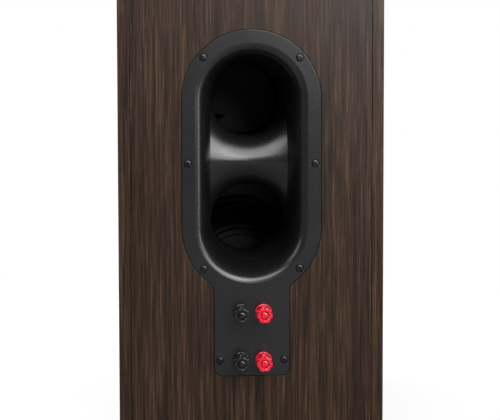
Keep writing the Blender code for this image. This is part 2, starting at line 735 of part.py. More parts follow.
def make_screws():
    """Flat-headed screws, each with a six-sided socket."""
    top = FACE_Y - SCREW_SUNK
    seat = top - SCREW_HEAD
    tip = screw_tip()
    profile = [
        (0.0, top),
        (SCREW_HEAD_RADIUS, top),
        (SCREW_HEAD_RADIUS, seat),
        (SCREW_SHANK_RADIUS, seat),
        (SCREW_SHANK_RADIUS, tip + SCREW_SHANK_RADIUS),
        (0.0, tip),
    ]
    for number, (x, z) in enumerate(screw_places(), 1):
        screw = turned(f"plate_screw_{number}", profile, TINY, STEEL, at=(x, 0.0, z))
        socket = rod(
            f"screw_socket_{number}", (x, z), SCREW_SOCKET_RADIUS, top - SCREW_SOCKET_DEPTH, top + EPS, 6
        )
        cut(screw, socket)


# Binding posts


def make_posts():
    for name, x, z in post_places():
        clear = RED_CLEAR if name.endswith("positive") else BLACK_CLEAR
        at = (x, 0.0, z)
        make_stud(name, x, z)
        bore = STUD_RADIUS + GAP
        back, face, front = FACE_Y - FLANGE, FACE_Y + GAP, FACE_Y + COLLAR
        collar = [(bore, back), (BUSH_RADIUS, back), (BUSH_RADIUS, face)]
        collar += [(COLLAR_RADIUS, face), (COLLAR_RADIUS, front), (bore, front)]
        turned(f"{name}_collar", collar, COARSE, clear, at)
        running = STUD_RADIUS + RUNNING_GAP
        washer_y = front + GAP
        washer = ring(running, WASHER_RADIUS, washer_y, washer_y + WASHER)
        turned(f"{name}_washer", washer, COARSE, BRASS, at)
        make_cap(name, x, z, washer_y + WASHER + GAP, clear)
        head_y = FACE_Y + STUD_PROUD + GAP
        tip_y = head_y - PLUG_SHAFT
        plug = [
            (0.0, tip_y),
            (PLUG_SHAFT_RADIUS, tip_y),
            (PLUG_SHAFT_RADIUS, head_y),
            (STUD_RADIUS, head_y),
            (STUD_RADIUS, head_y + PLUG_HEAD - PLUG_DOME),
            (STUD_RADIUS / 2, head_y + PLUG_HEAD),
            (0.0, head_y + PLUG_HEAD),
        ]
        turned(f"{name}_plug", plug, TINY, clear, at)


def make_stud(name, x, z):
    """A threaded stud with its hexagon, bored for a plug, and its tail through the board."""
    end = FACE_Y + STUD_PROUD
    board_y = REAR_Y - WALL - BOARD_BEHIND_WALL
    tail = board_y - BOARD - TAIL_PROUD
    shoulder = board_y + GAP
    profile = [
        (0.0, tail),
        (STUD_TAIL_RADIUS, tail),
        (STUD_TAIL_RADIUS, shoulder),
        (STUD_RADIUS, shoulder),
        (STUD_RADIUS, end),
        (STUD_BORE_RADIUS, end),
        (STUD_BORE_RADIUS, end - STUD_BORE_DEPTH),
        (0.0, end - STUD_BORE_DEPTH),
    ]
    stud = turned(f"{name}_stud", profile, TINY, BRASS, at=(x, 0.0, z))
    nut_y = FACE_Y - FLANGE - GAP
    nut = rod(f"{name}_nut", (x, z), STUD_NUT_RADIUS, nut_y - STUD_NUT, nut_y, 6)
    hole_y = FACE_Y + COLLAR + GAP + WASHER + WIRE_HOLE_RADIUS + GAP
    hole = rod(f"{name}_wire_hole", (x, 0.0), WIRE_HOLE_RADIUS, -2 * STUD_RADIUS, 2 * STUD_RADIUS, 8)
    hole.rotation_euler = (math.radians(90), 0.0, 0.0)
    hole.location = (0.0, hole_y, z)
    cut(stud, nut, operation="UNION")
    cut(stud, hole)


def make_cap(name, x, z, y_from, finish):
    """The clamping cap, with rounded flutes ahead of a plain skirt."""
    y_to = y_from + CAP_LENGTH
    bore = STUD_RADIUS + RUNNING_GAP
    profile = [
        (bore, y_from),
        (CAP_RADIUS, y_from),
        (CAP_RADIUS, y_to - CAP_CHAMFER),
        (CAP_RADIUS - CAP_CHAMFER, y_to),
        (bore, y_to),
    ]
    cap = turned(f"{name}_cap", profile, 2 * TINY, finish, at=(x, 0.0, z))
    places = []
    for flute in range(FLUTE_COUNT):
        angle = 2 * math.pi * (flute + 0.5) / FLUTE_COUNT
        reach = CAP_RADIUS + GAP
        places.append((x + reach * math.cos(angle), z + reach * math.sin(angle)))
    flutes = rods(f"{name}_flutes", places, FLUTE_RADIUS, y_from + CAP_SKIRT, y_to + EPS, 8)
    cut(cap, flutes)


# Crossover


def make_crossover():
    outer_y = REAR_Y - WALL - BOARD_BEHIND_WALL
    half = POST_SPACING / 2 + BOARD_MARGIN_X
    row_low = PLATE_FOOT_Z + POST_LOW_Z
    row_high = row_low + POST_ROW_PITCH
    board = block(
        "crossover_board",
        (-half, outer_y - BOARD, row_low - BOARD_MARGIN_Z),
        (half, outer_y, row_high + BOARD_MARGIN_Z),
        LAMINATE,
    )
    posts = [(x, z) for _, x, z in post_places()]
    reach = (outer_y - BOARD - EPS, outer_y + EPS)
    cut(board, rods("tail_holes", posts, clear_of(STUD_TAIL_RADIUS, TINY), *reach))
    choke_x = half - CHOKE_RADIUS - EPS
    top = outer_y - BOARD - GAP
    bottom = top - CHOKE_LENGTH
    profile = [
        (CHOKE_CORE_RADIUS, top),
        (CHOKE_RADIUS, top),
        (CHOKE_RADIUS, top - CHOKE_FLANGE),
        (CHOKE_RADIUS - CHOKE_FLANGE, top - CHOKE_FLANGE),
        (CHOKE_RADIUS - CHOKE_FLANGE, bottom + CHOKE_FLANGE),
        (CHOKE_RADIUS, bottom + CHOKE_FLANGE),
        (CHOKE_RADIUS, bottom),
        (CHOKE_CORE_RADIUS, bottom),
    ]
    turned("crossover_choke", profile, COARSE, COPPER, at=(choke_x, 0.0, (row_low + row_high) / 2))


def make_leads():
    """Two leads from the board, one to the woofer's tab and one to the tweeter's motor."""
    board_y = REAR_Y - WALL - BOARD_BEHIND_WALL - BOARD - GAP
    edge = POST_SPACING / 2 + BOARD_MARGIN_X - 3 * LEAD_RADIUS
    board_top = PLATE_FOOT_Z + POST_LOW_Z + POST_ROW_PITCH + BOARD_MARGIN_Z - 3 * LEAD_RADIUS
    side = HALF_WIDTH - WALL - 10 * LEAD_RADIUS
    tab_y = FRONT_Y + BASKET_DEPTH + GAP
    tab_x = -(CUP_RADIUS + TAB_LENGTH / 2)
    depth = board_y - tab_y
    middle = [
        (-side, board_y - 0.35 * depth, (board_top + WOOFER_Z) / 2),
        (-side, board_y - 0.65 * depth, WOOFER_Z),
    ]
    ends = straight_out((-edge, board_y, board_top), -1), straight_out((tab_x, tab_y, WOOFER_Z), 1)
    tube_through("woofer_lead", [*ends[0], *middle, *ends[1][::-1]], LEAD_RADIUS, INSULATION)
    motor_y = FRONT_Y + motor_front() + MOTOR_LENGTH + GAP
    motor_x, motor_z = MOTOR_RADIUS / 2, TWEETER_Z - MOTOR_RADIUS / 2
    depth = board_y - motor_y
    middle = [
        (side, board_y - 0.22 * depth, 0.6 * board_top + 0.4 * LOW_PORT_Z),
        (side, board_y - 0.32 * depth, LOW_PORT_Z),
        (side, board_y - 0.45 * depth, MID_PORT_Z),
        ((side + motor_x) / 2, board_y - 0.7 * depth, (MID_PORT_Z + motor_z) / 2 + 8 * LEAD_RADIUS),
    ]
    ends = straight_out((edge, board_y, board_top), -1), straight_out((motor_x, motor_y, motor_z), 1)
    tube_through("tweeter_lead", [*ends[0], *middle, *ends[1][::-1]], LEAD_RADIUS, INSULATION)


def straight_out(end, way):
    """Three points that keep a lead square to what it ends on."""
    x, y, z = end
    return [(x, y + way * step * LEAD_RADIUS, z) for step in (0, 5, 10)]


# Woofer


def flange_front():
    """Distance in of the basket flange's front face."""
    return WOOFER_REBATE - GAP - WOOFER_FRAME


def cone_front():
    """Distance in of the cone's flat rim, behind the surround's inner lip."""
    return flange_front()


def cone_in(radius):
    """Distance in of the cone's front at a radius, steeper towards the neck."""
    rim = ROLL_INNER_RADIUS - CONE_GLUE_WIDTH
    share = (radius - CONE_NECK_RADIUS) / (rim - CONE_NECK_RADIUS)
    return cone_front() + CONE_DEPTH * (1 - share**0.85)


def make_woofer():
    at = (0.0, FRONT_Y, WOOFER_Z)
    make_basket(at)
    lip_back = flange_front() - GAP
    lip_front = lip_back - SURROUND_LIP
    inner, outer = ROLL_OUTER_RADIUS + 2 * GAP, WOOFER_FRAME_RADIUS - GAP
    trim = [
        (inner, -TRIM_PROUD),
        (TRIM_RADIUS, -TRIM_PROUD),
        (TRIM_RADIUS, -GAP),
        (outer, -GAP),
        (outer, lip_front - GAP),
        (inner, lip_front - GAP),
    ]
    turned("woofer_trim_ring", trim, MEDIUM, BLACK_PLASTIC, at)
    turned("woofer_surround", surround_profile(lip_front, lip_back), MEDIUM, RUBBER, at)
    make_cone(at)
    make_motor(at)


def surround_profile(lip_front, lip_back):
    middle = (ROLL_OUTER_RADIUS + ROLL_INNER_RADIUS) / 2
    half = (ROLL_OUTER_RADIUS - ROLL_INNER_RADIUS) / 2
    inner = ROLL_INNER_RADIUS - CONE_GLUE_WIDTH
    front = [(SURROUND_RADIUS, lip_front)]
    back = [(SURROUND_RADIUS, lip_back)]
    for x, y in arc((0.0, 0.0), 1.0, 0, 180, 4):
        front.append((middle + half * x, lip_front - ROLL_HEIGHT * y))
        back.append((middle + (half - SURROUND_LIP) * x, lip_back - ROLL_HEIGHT * y))
    front.append((inner, lip_front))
    back.append((inner, lip_back))
    return front + back[::-1]


def make_cone(at):
    rim = ROLL_INNER_RADIUS - CONE_GLUE_WIDTH
    radii = [rim + (CONE_NECK_RADIUS - rim) * step / 3 for step in range(4)]
    front = [(ROLL_INNER_RADIUS, cone_front()), *((radius, cone_in(radius)) for radius in radii)]
    back = [(radius, depth + CONE_WALL) for radius, depth in front]
    turned("woofer_cone", front + back[::-1], MEDIUM, CONE_FIBRE, at)
    seat = cone_in(DUST_CAP_RADIUS) - GAP
    outer, inner = [], []
    for step in range(4):
        share = step / 3
        bulge = DUST_CAP_HEIGHT * (1 - share**2)
        outer.append((DUST_CAP_RADIUS * share, seat - bulge))
        inner.append(((DUST_CAP_RADIUS - DUST_CAP_WALL) * share, seat - bulge + DUST_CAP_WALL))
    inner[-1] = (DUST_CAP_RADIUS - 2 * DUST_CAP_WALL, seat)
    turned("woofer_dust_cap", outer + inner[::-1], MEDIUM, CONE_FIBRE, at)
    coil_outer = CONE_NECK_RADIUS - GAP
    start = cone_in(CONE_NECK_RADIUS) - CONE_WALL
    coil = ring(coil_outer - COIL_WALL, coil_outer, start, start + COIL_LENGTH)
    turned("woofer_voice_coil", coil, MEDIUM, COPPER, at)


def make_basket(at):
    front, cup_y = flange_front(), BASKET_DEPTH - CUP_HEIGHT
    mouth, step = BASKET_MOUTH_RADIUS, BASKET_WALL
    cup_inner = CUP_RADIUS - CUP_WALL
    profile = [
        (WOOFER_FRAME_RADIUS, front),
        (WOOFER_FRAME_RADIUS, front + WOOFER_FRAME),
        (mouth + step, front + WOOFER_FRAME),
        (CUP_RADIUS + step, cup_y),
        (CUP_RADIUS, cup_y + step),
        (CUP_RADIUS, BASKET_DEPTH),
        (cup_inner, BASKET_DEPTH),
        (cup_inner, cup_y),
        (CUP_RADIUS, cup_y),
        (mouth, front + WOOFER_FRAME),
        (mouth, front),
    ]
    basket = turned("woofer_basket", profile, MEDIUM, STEEL, at)
    tab = block(
        "lead_tab",
        (-CUP_RADIUS - TAB_LENGTH, FRONT_Y + BASKET_DEPTH - TAB, WOOFER_Z - TAB_WIDTH / 2),
        (-CUP_RADIUS + step, FRONT_Y + BASKET_DEPTH, WOOFER_Z + TAB_WIDTH / 2),
    )
    window_y = (front + WOOFER_FRAME + step, cup_y - step)
    windows = turned("basket_windows", ring(cup_inner, mouth + 3 * step, *window_y), MEDIUM, at=at)
    for number in range(BASKET_ARMS // 2):
        arm = block(
            f"arm_{number}",
            (-2 * mouth, FRONT_Y, -ARM_WIDTH / 2),
            (2 * mouth, FRONT_Y + BASKET_DEPTH, ARM_WIDTH / 2),
        )
        arm.rotation_euler = (0.0, 2 * math.pi * (number + 0.5) / BASKET_ARMS, 0.0)
        arm.location = (0.0, 0.0, WOOFER_Z)
        cut(windows, arm)
    cut(basket, windows)
    cut(basket, tab, operation="UNION")


def make_motor(at):
    coil_outer = CONE_NECK_RADIUS - GAP
    pole = coil_outer - COIL_WALL - COIL_CLEARANCE
    plate_y = BASKET_DEPTH + GAP
    magnet_y = plate_y + TOP_PLATE + GAP
    yoke_y = magnet_y + MAGNET + GAP
    plate = ring(coil_outer + COIL_CLEARANCE, TOP_PLATE_RADIUS, plate_y, plate_y + TOP_PLATE)
    turned("woofer_top_plate", plate, MEDIUM, ZINC, at)
    magnet = ring(MAGNET_BORE_RADIUS, MAGNET_RADIUS, magnet_y, magnet_y + MAGNET)
    turned("woofer_magnet", magnet, MEDIUM, FERRITE, at)
    yoke = [
        (0.0, plate_y),
        (pole, plate_y),
        (pole, yoke_y),
        (YOKE_RADIUS, yoke_y),
        (YOKE_RADIUS, yoke_y + YOKE),
        (0.0, yoke_y + YOKE),
    ]
    turned("woofer_yoke", yoke, MEDIUM, ZINC, at)
    rim_y = BASKET_DEPTH - CUP_HEIGHT - GAP - SPIDER_THICKNESS
    inner, outer = CONE_NECK_RADIUS, CUP_RADIUS - CUP_WALL
    peaks = 2 * SPIDER_WAVES
    front = []
    for peak in range(peaks + 1):
        lift = 0.0 if peak in (0, peaks) else SPIDER_WAVE * (-1) ** peak
        front.append((inner + (outer - inner) * peak / peaks, rim_y - lift))
    front.append((CUP_RADIUS - EPS, rim_y))
    back = [(radius, y + SPIDER_THICKNESS) for radius, y in front]
    turned("woofer_spider", front + back[::-1], MEDIUM, CLOTH, at)


# Tweeter


def motor_front():
    """Distance in of the tweeter motor's face, behind the guide's seat."""
    return GUIDE_DEPTH - GUIDE_PROUD + GUIDE_WALL + GAP


def make_tweeter():
    at = (0.0, FRONT_Y, TWEETER_Z)
    throat_y = GUIDE_DEPTH - GUIDE_PROUD
    seat_y = throat_y + GUIDE_WALL
    reach = GUIDE_MOUTH_RADIUS - GUIDE_THROAT_RADIUS
    horn = []
    for step in range(5):
        angle = math.pi / 2 * step / 4
        radius = GUIDE_THROAT_RADIUS + reach * (1 - math.sin(angle))
        horn.append((radius, throat_y - GUIDE_DEPTH * math.cos(angle)))
    behind = [(radius + GUIDE_WALL, y + GUIDE_WALL) for radius, y in horn[1:4]]
    guide = [
        *horn,
        (GUIDE_THROAT_RADIUS, seat_y),
        (GUIDE_SEAT_RADIUS, seat_y),
        (GUIDE_SEAT_RADIUS, seat_y - GUIDE_WALL),
        (behind[-1][0], seat_y - GUIDE_WALL),
        *behind[::-1],
        (GUIDE_HOLE_RADIUS - EPS, GUIDE_FLANGE - GUIDE_PROUD),
        (GUIDE_RADIUS, GUIDE_FLANGE - GUIDE_PROUD),
        (GUIDE_RADIUS, -GUIDE_PROUD),
    ]
    turned("tweeter_waveguide", guide, MEDIUM, BLACK_PLASTIC, at)
    face = motor_front()
    rim_back = face - DOME_TRAVEL_GAP
    rim_front = rim_back - DOME_WALL
    edge = GUIDE_THROAT_RADIUS - DOME_EDGE_GAP
    former = DOME_RADIUS - DOME_WALL
    dome = []
    for step in range(4):
        share = step / 3
        dome.append((DOME_RADIUS * share, rim_front - DOME_HEIGHT * (1 - share**2)))
    inner = [(former * step / 3, dome[step][1] + DOME_WALL) for step in range(3)]
    dome += [
        (edge, rim_front),
        (edge, rim_back),
        (DOME_RADIUS, rim_back),
        (DOME_RADIUS, rim_back + DOME_FORMER),
        (former, rim_back + DOME_FORMER),
        (former, rim_front + DOME_WALL),
    ]
    turned("tweeter_dome", dome + inner[::-1], MEDIUM, SILK, at)
    groove = face + DOME_FORMER + FORMER_CLEARANCE
    motor = [
        (0.0, face),
        (former - FORMER_CLEARANCE, face),
        (former - FORMER_CLEARANCE, groove),
        (DOME_RADIUS + FORMER_CLEARANCE, groove),
        (DOME_RADIUS + FORMER_CLEARANCE, face),
        (MOTOR_RADIUS, face),
        (MOTOR_RADIUS, face + MOTOR_LENGTH),
        (0.0, face + MOTOR_LENGTH),
    ]
    turned("tweeter_motor", motor, MEDIUM, STEEL, at)


def main():
    clear_scene()
    new_collection("bookshelf_speaker", hidden=False)
    new_collection("cutters", hidden=True)
    make_cabinet()
    make_port_plate()
    make_gasket()
    make_port_tubes()
    make_screws()
    make_posts()
    make_crossover()
    make_leads()
    make_woofer()
    make_tweeter()


main()
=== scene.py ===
# %% [markdown]
# # A two-way bookshelf loudspeaker
#
# The camera looks at the back of the cabinet: dark wood wrap, one long moulded plate with two
# bass-reflex ports in a shared tray, and two pairs of binding posts. The drivers are on the far side.
#
# The measured solid model is the frame. It comes in first, at its real size and place, with the
# bodies that move. Everything below either gives one of its pieces a finish, or builds a finer shape
# over it.

# %% The frame
import json
import math

import bmesh
import bpy
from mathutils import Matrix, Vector
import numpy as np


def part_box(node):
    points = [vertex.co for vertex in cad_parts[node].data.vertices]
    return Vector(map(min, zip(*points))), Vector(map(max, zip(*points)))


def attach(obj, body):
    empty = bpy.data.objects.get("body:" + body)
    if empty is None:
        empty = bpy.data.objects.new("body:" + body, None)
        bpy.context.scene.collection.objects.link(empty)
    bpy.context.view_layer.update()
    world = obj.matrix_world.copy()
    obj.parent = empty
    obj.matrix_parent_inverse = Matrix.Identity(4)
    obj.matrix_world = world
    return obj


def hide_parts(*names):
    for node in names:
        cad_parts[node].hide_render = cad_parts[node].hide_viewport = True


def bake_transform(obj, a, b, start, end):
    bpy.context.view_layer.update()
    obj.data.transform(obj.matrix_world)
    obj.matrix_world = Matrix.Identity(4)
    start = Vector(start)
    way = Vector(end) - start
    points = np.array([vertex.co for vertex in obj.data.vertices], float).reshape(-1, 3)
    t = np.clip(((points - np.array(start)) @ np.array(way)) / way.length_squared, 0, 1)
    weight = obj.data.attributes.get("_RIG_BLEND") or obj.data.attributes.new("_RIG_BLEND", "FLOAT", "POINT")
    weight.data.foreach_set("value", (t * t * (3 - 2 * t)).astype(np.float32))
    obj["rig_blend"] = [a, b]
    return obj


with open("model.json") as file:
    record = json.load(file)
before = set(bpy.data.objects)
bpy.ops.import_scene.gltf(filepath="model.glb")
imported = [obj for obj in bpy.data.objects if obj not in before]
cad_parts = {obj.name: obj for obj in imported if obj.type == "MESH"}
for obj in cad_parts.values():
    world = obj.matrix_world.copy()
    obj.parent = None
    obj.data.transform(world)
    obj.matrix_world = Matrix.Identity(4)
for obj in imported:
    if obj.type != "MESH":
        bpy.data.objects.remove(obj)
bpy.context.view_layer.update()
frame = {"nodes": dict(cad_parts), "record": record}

MM = 0.001

# %% [markdown]
# ## Places
#
# A place that is typed twice will sooner or later differ. Each one is therefore read from the frame:
# the outer face of the plate, the axes of the ports, posts and drivers. Only shapes that the frame
# shows coarsely, such as the curve of a flare, have their own sizes below.

# %% Places
def centre(node):
    low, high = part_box(node)
    return (low + high) / 2


FACE_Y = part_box("port_plate")[1].y  # outer face of the plate
FOOT_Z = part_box("port_plate")[0].z
REAR_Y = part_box("rear_panel")[1].y
FRONT_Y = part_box("front_baffle")[0].y
PORTS = {name: centre(f"port_tube_{name}").z for name in ("upper", "lower")}
HIGH, LOW = PORTS["upper"], PORTS["lower"]
MIDDLE = (HIGH + LOW) / 2
WOOFER = (0.0, centre("woofer_cone").z)
TWEETER = (0.0, centre("tweeter_waveguide").z)
POSTS = [f"{row}_{pole}" for row in ("low", "high") for pole in ("positive", "negative")]
post_at = {post: (centre(f"{post}_plug").x, centre(f"{post}_plug").z) for post in POSTS}
SCREWS = [f"plate_screw_{number}" for number in range(1, 9)]
screw_at = [(centre(screw).x, centre(screw).z) for screw in SCREWS]
print("ports at", round(HIGH, 4), round(LOW, 4), "posts at", post_at)

# %% [markdown]
# ## The workbench
#
# Blender's operators act on whatever is selected, and loading the frame leaves all of it selected.
# So every job starts by clearing the selection, and ends by putting the shape's place into its mesh
# and leaving the object itself at the origin.

# %% Starting and finishing a piece
def clear_bench():
    if bpy.context.mode != "OBJECT":
        bpy.ops.object.mode_set(mode="OBJECT")
    bpy.ops.object.select_all(action="DESELECT")


def pick(obj):
    clear_bench()
    obj.select_set(True)
    bpy.context.view_layer.objects.active = obj


def finish(name, angle=30):
    """Names the active object, moves its place into its mesh and shades it."""
    if bpy.context.mode != "OBJECT":
        bpy.ops.object.mode_set(mode="OBJECT")
    obj = bpy.context.object
    obj.name = obj.data.name = name
    pick(obj)
    bpy.ops.object.transform_apply(location=True, rotation=True, scale=True)
    bpy.ops.object.shade_smooth_by_angle(angle=math.radians(angle))
    return obj


clear_bench()
print("selected:", len(bpy.context.selected_objects))

# %% [markdown]
# Many parts of a loudspeaker come off a lathe, or look it. A profile is drawn as a carpenter would
# trace one: a tiny plane is merged to a single point, and that point is extruded along the outline.
# The Spin operator then turns the line about the part's axis. Spin leaves a seam where the last
# copy meets the first, and a loose pole on the axis, so both are merged before the normals are set.

# %% Drawing a line and turning it
def draw(points):
    """A line of edges through the points, left selected in edit mode."""
    clear_bench()
    bpy.ops.mesh.primitive_plane_add(size=MM, location=points[0])
    bpy.ops.object.mode_set(mode="EDIT")
    bpy.ops.mesh.merge(type="CENTER")
    for start, end in zip(points, points[1:]):
        step = Vector(end) - Vector(start)
        bpy.ops.mesh.extrude_region_move(TRANSFORM_OT_translate={"value": step})


def close_mesh():
    """Welds what a spin or an extrusion left side by side, and turns the faces outwards."""
    bpy.ops.mesh.select_all(action="SELECT")
    bpy.ops.mesh.remove_doubles(threshold=2e-6)
    bpy.ops.mesh.normals_make_consistent(inside=False)


def turned(name, profile, at, steps=96, ring=True, angle=30):
    """(radius, y) points turned about a line along Y through at = (x, z)."""
    x, z = at
    line = [(x + radius, y, z) for radius, y in profile]
    draw(line + line[:1] if ring else line)
    bpy.ops.mesh.select_all(action="SELECT")
    bpy.ops.mesh.spin(steps=steps, angle=2 * math.pi, center=(x, 0, z), axis=(0, 1, 0))
    close_mesh()
    return finish(name, angle)


print("profiles can be drawn and turned")

# %% [markdown]
# Flat shapes are drawn the same way, closed with one face and extruded to a thickness. Two shapes
# are combined by a Boolean modifier that is applied at once, and an edge is softened by a Bevel.

# %% Flat shapes, cutting and softening
def slab(name, outline, y_from, y_to):
    """A flat outline of (x, z) points with a thickness along Y."""
    draw([(x, y_from, z) for x, z in outline])
    bpy.ops.mesh.select_all(action="SELECT")
    bpy.ops.mesh.edge_face_add()
    bpy.ops.mesh.extrude_region_move(TRANSFORM_OT_translate={"value": (0, y_to - y_from, 0)})
    close_mesh()
    return finish(name)


def brick(name, low, high):
    clear_bench()
    low, high = Vector(low), Vector(high)
    bpy.ops.mesh.primitive_cube_add(size=1, location=(low + high) / 2, scale=high - low)
    return finish(name)


def peg(name, at, radius, y_from, y_to, sides=64):
    clear_bench()
    bpy.ops.mesh.primitive_cylinder_add(
        vertices=sides, radius=radius, depth=y_to - y_from,
        location=(at[0], (y_from + y_to) / 2, at[1]), rotation=(math.pi / 2, 0, 0),
    )
    return finish(name)


def work(body, kind, **settings):
    """Adds one modifier and applies it."""
    modifier = body.modifiers.new(kind.title(), kind)
    for key, value in settings.items():
        setattr(modifier, key, value)
    pick(body)
    bpy.ops.object.modifier_apply(modifier=modifier.name)


def combine(body, *others, operation="DIFFERENCE"):
    for other in others:
        work(body, "BOOLEAN", object=other, operation=operation, solver="EXACT")
        bpy.data.objects.remove(other)
    return body


def soften(body, width, segments=2, angle=30):
    work(body, "BEVEL", width=width, segments=segments, limit_method="ANGLE",
         angle_limit=math.radians(angle))
    reshade(body, angle)
    work(body, "WEIGHTED_NORMAL", keep_sharp=True, weight=80)
    return body


def reshade(body, angle):
    pick(body)
    bpy.ops.object.shade_smooth_by_angle(angle=math.radians(angle))
    return body


def copied(source, name, move):
    """A copy with its own mesh, moved by (x, y, z)."""
    pick(source)
    bpy.ops.object.duplicate()
    bpy.ops.transform.translate(value=move)
    return finish(name)


print("ready to draw, turn, cut, soften and copy")

# %% [markdown]
# ## Shader arithmetic
#
# A procedural finish is mostly sums: a noise scaled, lifted, clipped and mixed. Wiring Math nodes by
# hand hides that, so a small class wraps a socket and lets ordinary operators add the nodes. Any
# other node comes from one method, which takes its type, its settings and its inputs.

# %% Sockets that can be added and multiplied
class Value:
    def __init__(self, wiring, socket):
        self.wiring, self.socket = wiring, socket

    def _maths(self, operation, first, second):
        return self.wiring.node("ShaderNodeMath", {"operation": operation}, {0: first, 1: second})

    def __add__(self, other):
        return self._maths("ADD", self, other)

    def __sub__(self, other):
        return self._maths("SUBTRACT", self, other)

    def __rsub__(self, other):
        return self._maths("SUBTRACT", other, self)

    def __mul__(self, other):
        return self._maths("MULTIPLY", self, other)

    __radd__, __rmul__ = __add__, __mul__


class Wiring:
    """The nodes of one material or world."""

    def __init__(self, tree):
        self.tree = tree

    def node(self, kind, settings, inputs, output=0):
        node = self.tree.nodes.new(kind)
        for key, value in settings.items():
            if key == "stops":
                ramp = node.color_ramp.elements
                while len(ramp) < len(value):
                    ramp.new(0.5)
                for element, (position, colour) in zip(ramp, value):
                    element.position, element.color = position, (*colour, 1)
            else:
                setattr(node, key, value)
        for key, value in inputs.items():
            if isinstance(value, Value):
                self.tree.links.new(value.socket, node.inputs[key])
            else:
                node.inputs[key].default_value = value
        return Value(self, node.outputs[output])


print("sockets can be added, subtracted and multiplied")

# %% [markdown]
# A finish is the wiring of one material. Noise is read at the piece's own coordinates, which a
# Mapping node can stretch, so a pattern stays on its piece. A value that is the same all over goes
# straight onto the shader's socket. Only what changes over the surface comes through nodes.

# %% A finish
class Finish(Wiring):
    def __init__(self, name, **uniform):
        self.material = bpy.data.materials.new(name)
        self.material.use_nodes = True
        super().__init__(self.material.node_tree)
        self.skin = self.tree.nodes["Principled BSDF"]
        for key, value in uniform.items():
            socket = key.replace("_", " ").title().replace("Ior", "IOR")
            self.skin.inputs[socket].default_value = value
        self.place = self.node("ShaderNodeTexCoord", {}, {}, "Object")

    def noise(self, scale, detail=2.0, roughness=0.5, stretch=(1, 1, 1)):
        spread = self.node("ShaderNodeMapping", {}, {"Vector": self.place, "Scale": stretch})
        inputs = {"Vector": spread, "Scale": scale, "Detail": detail, "Roughness": roughness}
        return self.node("ShaderNodeTexNoise", {}, inputs)

    def step(self, value, low, high):
        """0 below low, 1 above high, and smooth between them."""
        inputs = {"Value": value, "From Min": low, "From Max": high}
        return self.node("ShaderNodeMapRange", {"interpolation_type": "SMOOTHSTEP"}, inputs)

    def mix(self, share, first, second):
        """Two colours mixed."""
        first, second = [c if isinstance(c, Value) else (*c, 1) for c in (first, second)]
        return self.node("ShaderNodeMix", {"data_type": "RGBA"}, {0: share, 6: first, 7: second}, 2)

    def set(self, socket, value):
        self.tree.links.new(value.socket, self.skin.inputs[socket])

    def bump(self, height, strength, distance):
        inputs = {"Height": height, "Strength": strength, "Distance": distance}
        self.set("Normal", self.node("ShaderNodeBump", {}, inputs))


print("finishes can be mixed, stepped and embossed")

# %% [markdown]
# ## Finishes
#
# The wrap is a printed, embossed foil with the straight grain of a dark wood. Grain is noise that is
# squeezed across the boards and drawn out along them, at several widths: broad bands a few
# centimetres wide, streaks of about a millimetre, and short dark pores. A few streaks are warmer.
# The grain runs up the sides and the back, and across the top and bottom, as it does when one sheet
# is folded round a box.

# %% Wood wrap
GRAIN_STRETCH = 0.016  # a streak is some sixty times as long as it is wide
DARK, BROWN, TAN = (0.0095, 0.0042, 0.0020), (0.0285, 0.0140, 0.0072), (0.082, 0.044, 0.024)
WARM, PORE = (0.066, 0.028, 0.011), (0.012, 0.007, 0.005)


def wood_wrap(name, along):
    """Wood whose grain runs along one axis."""
    wood = Finish(name, specular_ior_level=0.32)

    def grain(scale, detail, roughness, shorter=1.0):
        stretch = [GRAIN_STRETCH * shorter if axis == along else 1.0 for axis in "XYZ"]
        return wood.noise(scale, detail, roughness, stretch)

    bands, streaks, hairs = grain(60, 3, 0.6), grain(620, 3, 0.65, 1.6), grain(1400, 2, 0.6, 1.5)
    warm = wood.step(grain(260, 2, 0.5), 0.58, 0.72) * 0.5
    pores = wood.step(grain(1500, 1, 0.4, 2.6), 0.62, 0.70)
    tone = (bands * 0.35 + streaks + hairs * 0.5) * 0.55
    stops = [(0.40, DARK), (0.53, BROWN), (0.66, TAN)]
    colour = wood.node("ShaderNodeValToRGB", {"stops": stops}, {"Fac": tone})
    colour = wood.mix(warm, colour, WARM)
    wood.set("Base Color", wood.mix(pores * 0.6, colour, PORE))
    wood.set("Roughness", 0.26 + streaks * 0.16 + pores * 0.12)
    wood.bump(streaks * 0.5 + hairs * 0.35 - pores * 0.8, 0.35, 0.12 * MM)
    return wood.material


wood_upright = wood_wrap("wood wrap, grain upright", "Z")
wood_across = wood_wrap("wood wrap, grain across", "X")
print("wood wraps ready")

# %% [markdown]
# The port plate is a satin black moulding. Under a soft light such plastic shows three things: a
# very fine spark-eroded texture, slow changes of gloss where the mould was polished, and a few dull
# specks. None of them changes the colour much, so most of the finish is in roughness and bump.
# The same recipe with other numbers makes rubber, foam, cast metal and ferrite. The steel and the
# leads that can be glimpsed through the ports get a near-black colour as painted shade, so the ports
# stay dark; the record gives them zinc plate and red insulation.

# %% Mouldings, castings and rubbers
def grained(name, colour, other, gloss, grain=0.35, depth=0.02, strength=0.4, **uniform):
    """Two mottled colours, a roughness, and a grain size and depth in millimetres."""
    skin = Finish(name, **uniform)
    fine = skin.noise(0.5 / (grain * MM), 2, 0.6)
    broad = skin.noise(22, 3, 0.55)
    dust = skin.step(skin.noise(900, 1, 0.5), 0.70, 0.78)
    mottle = skin.step(broad * 0.5 + fine * 0.5, 0.35, 0.65)
    skin.set("Base Color", skin.mix(mottle, colour, other))
    skin.set("Roughness", gloss + (broad - 0.5) * 0.08 + (fine - 0.5) * 0.08 + dust * 0.06)
    skin.bump(fine, strength, depth * MM)
    return skin.material


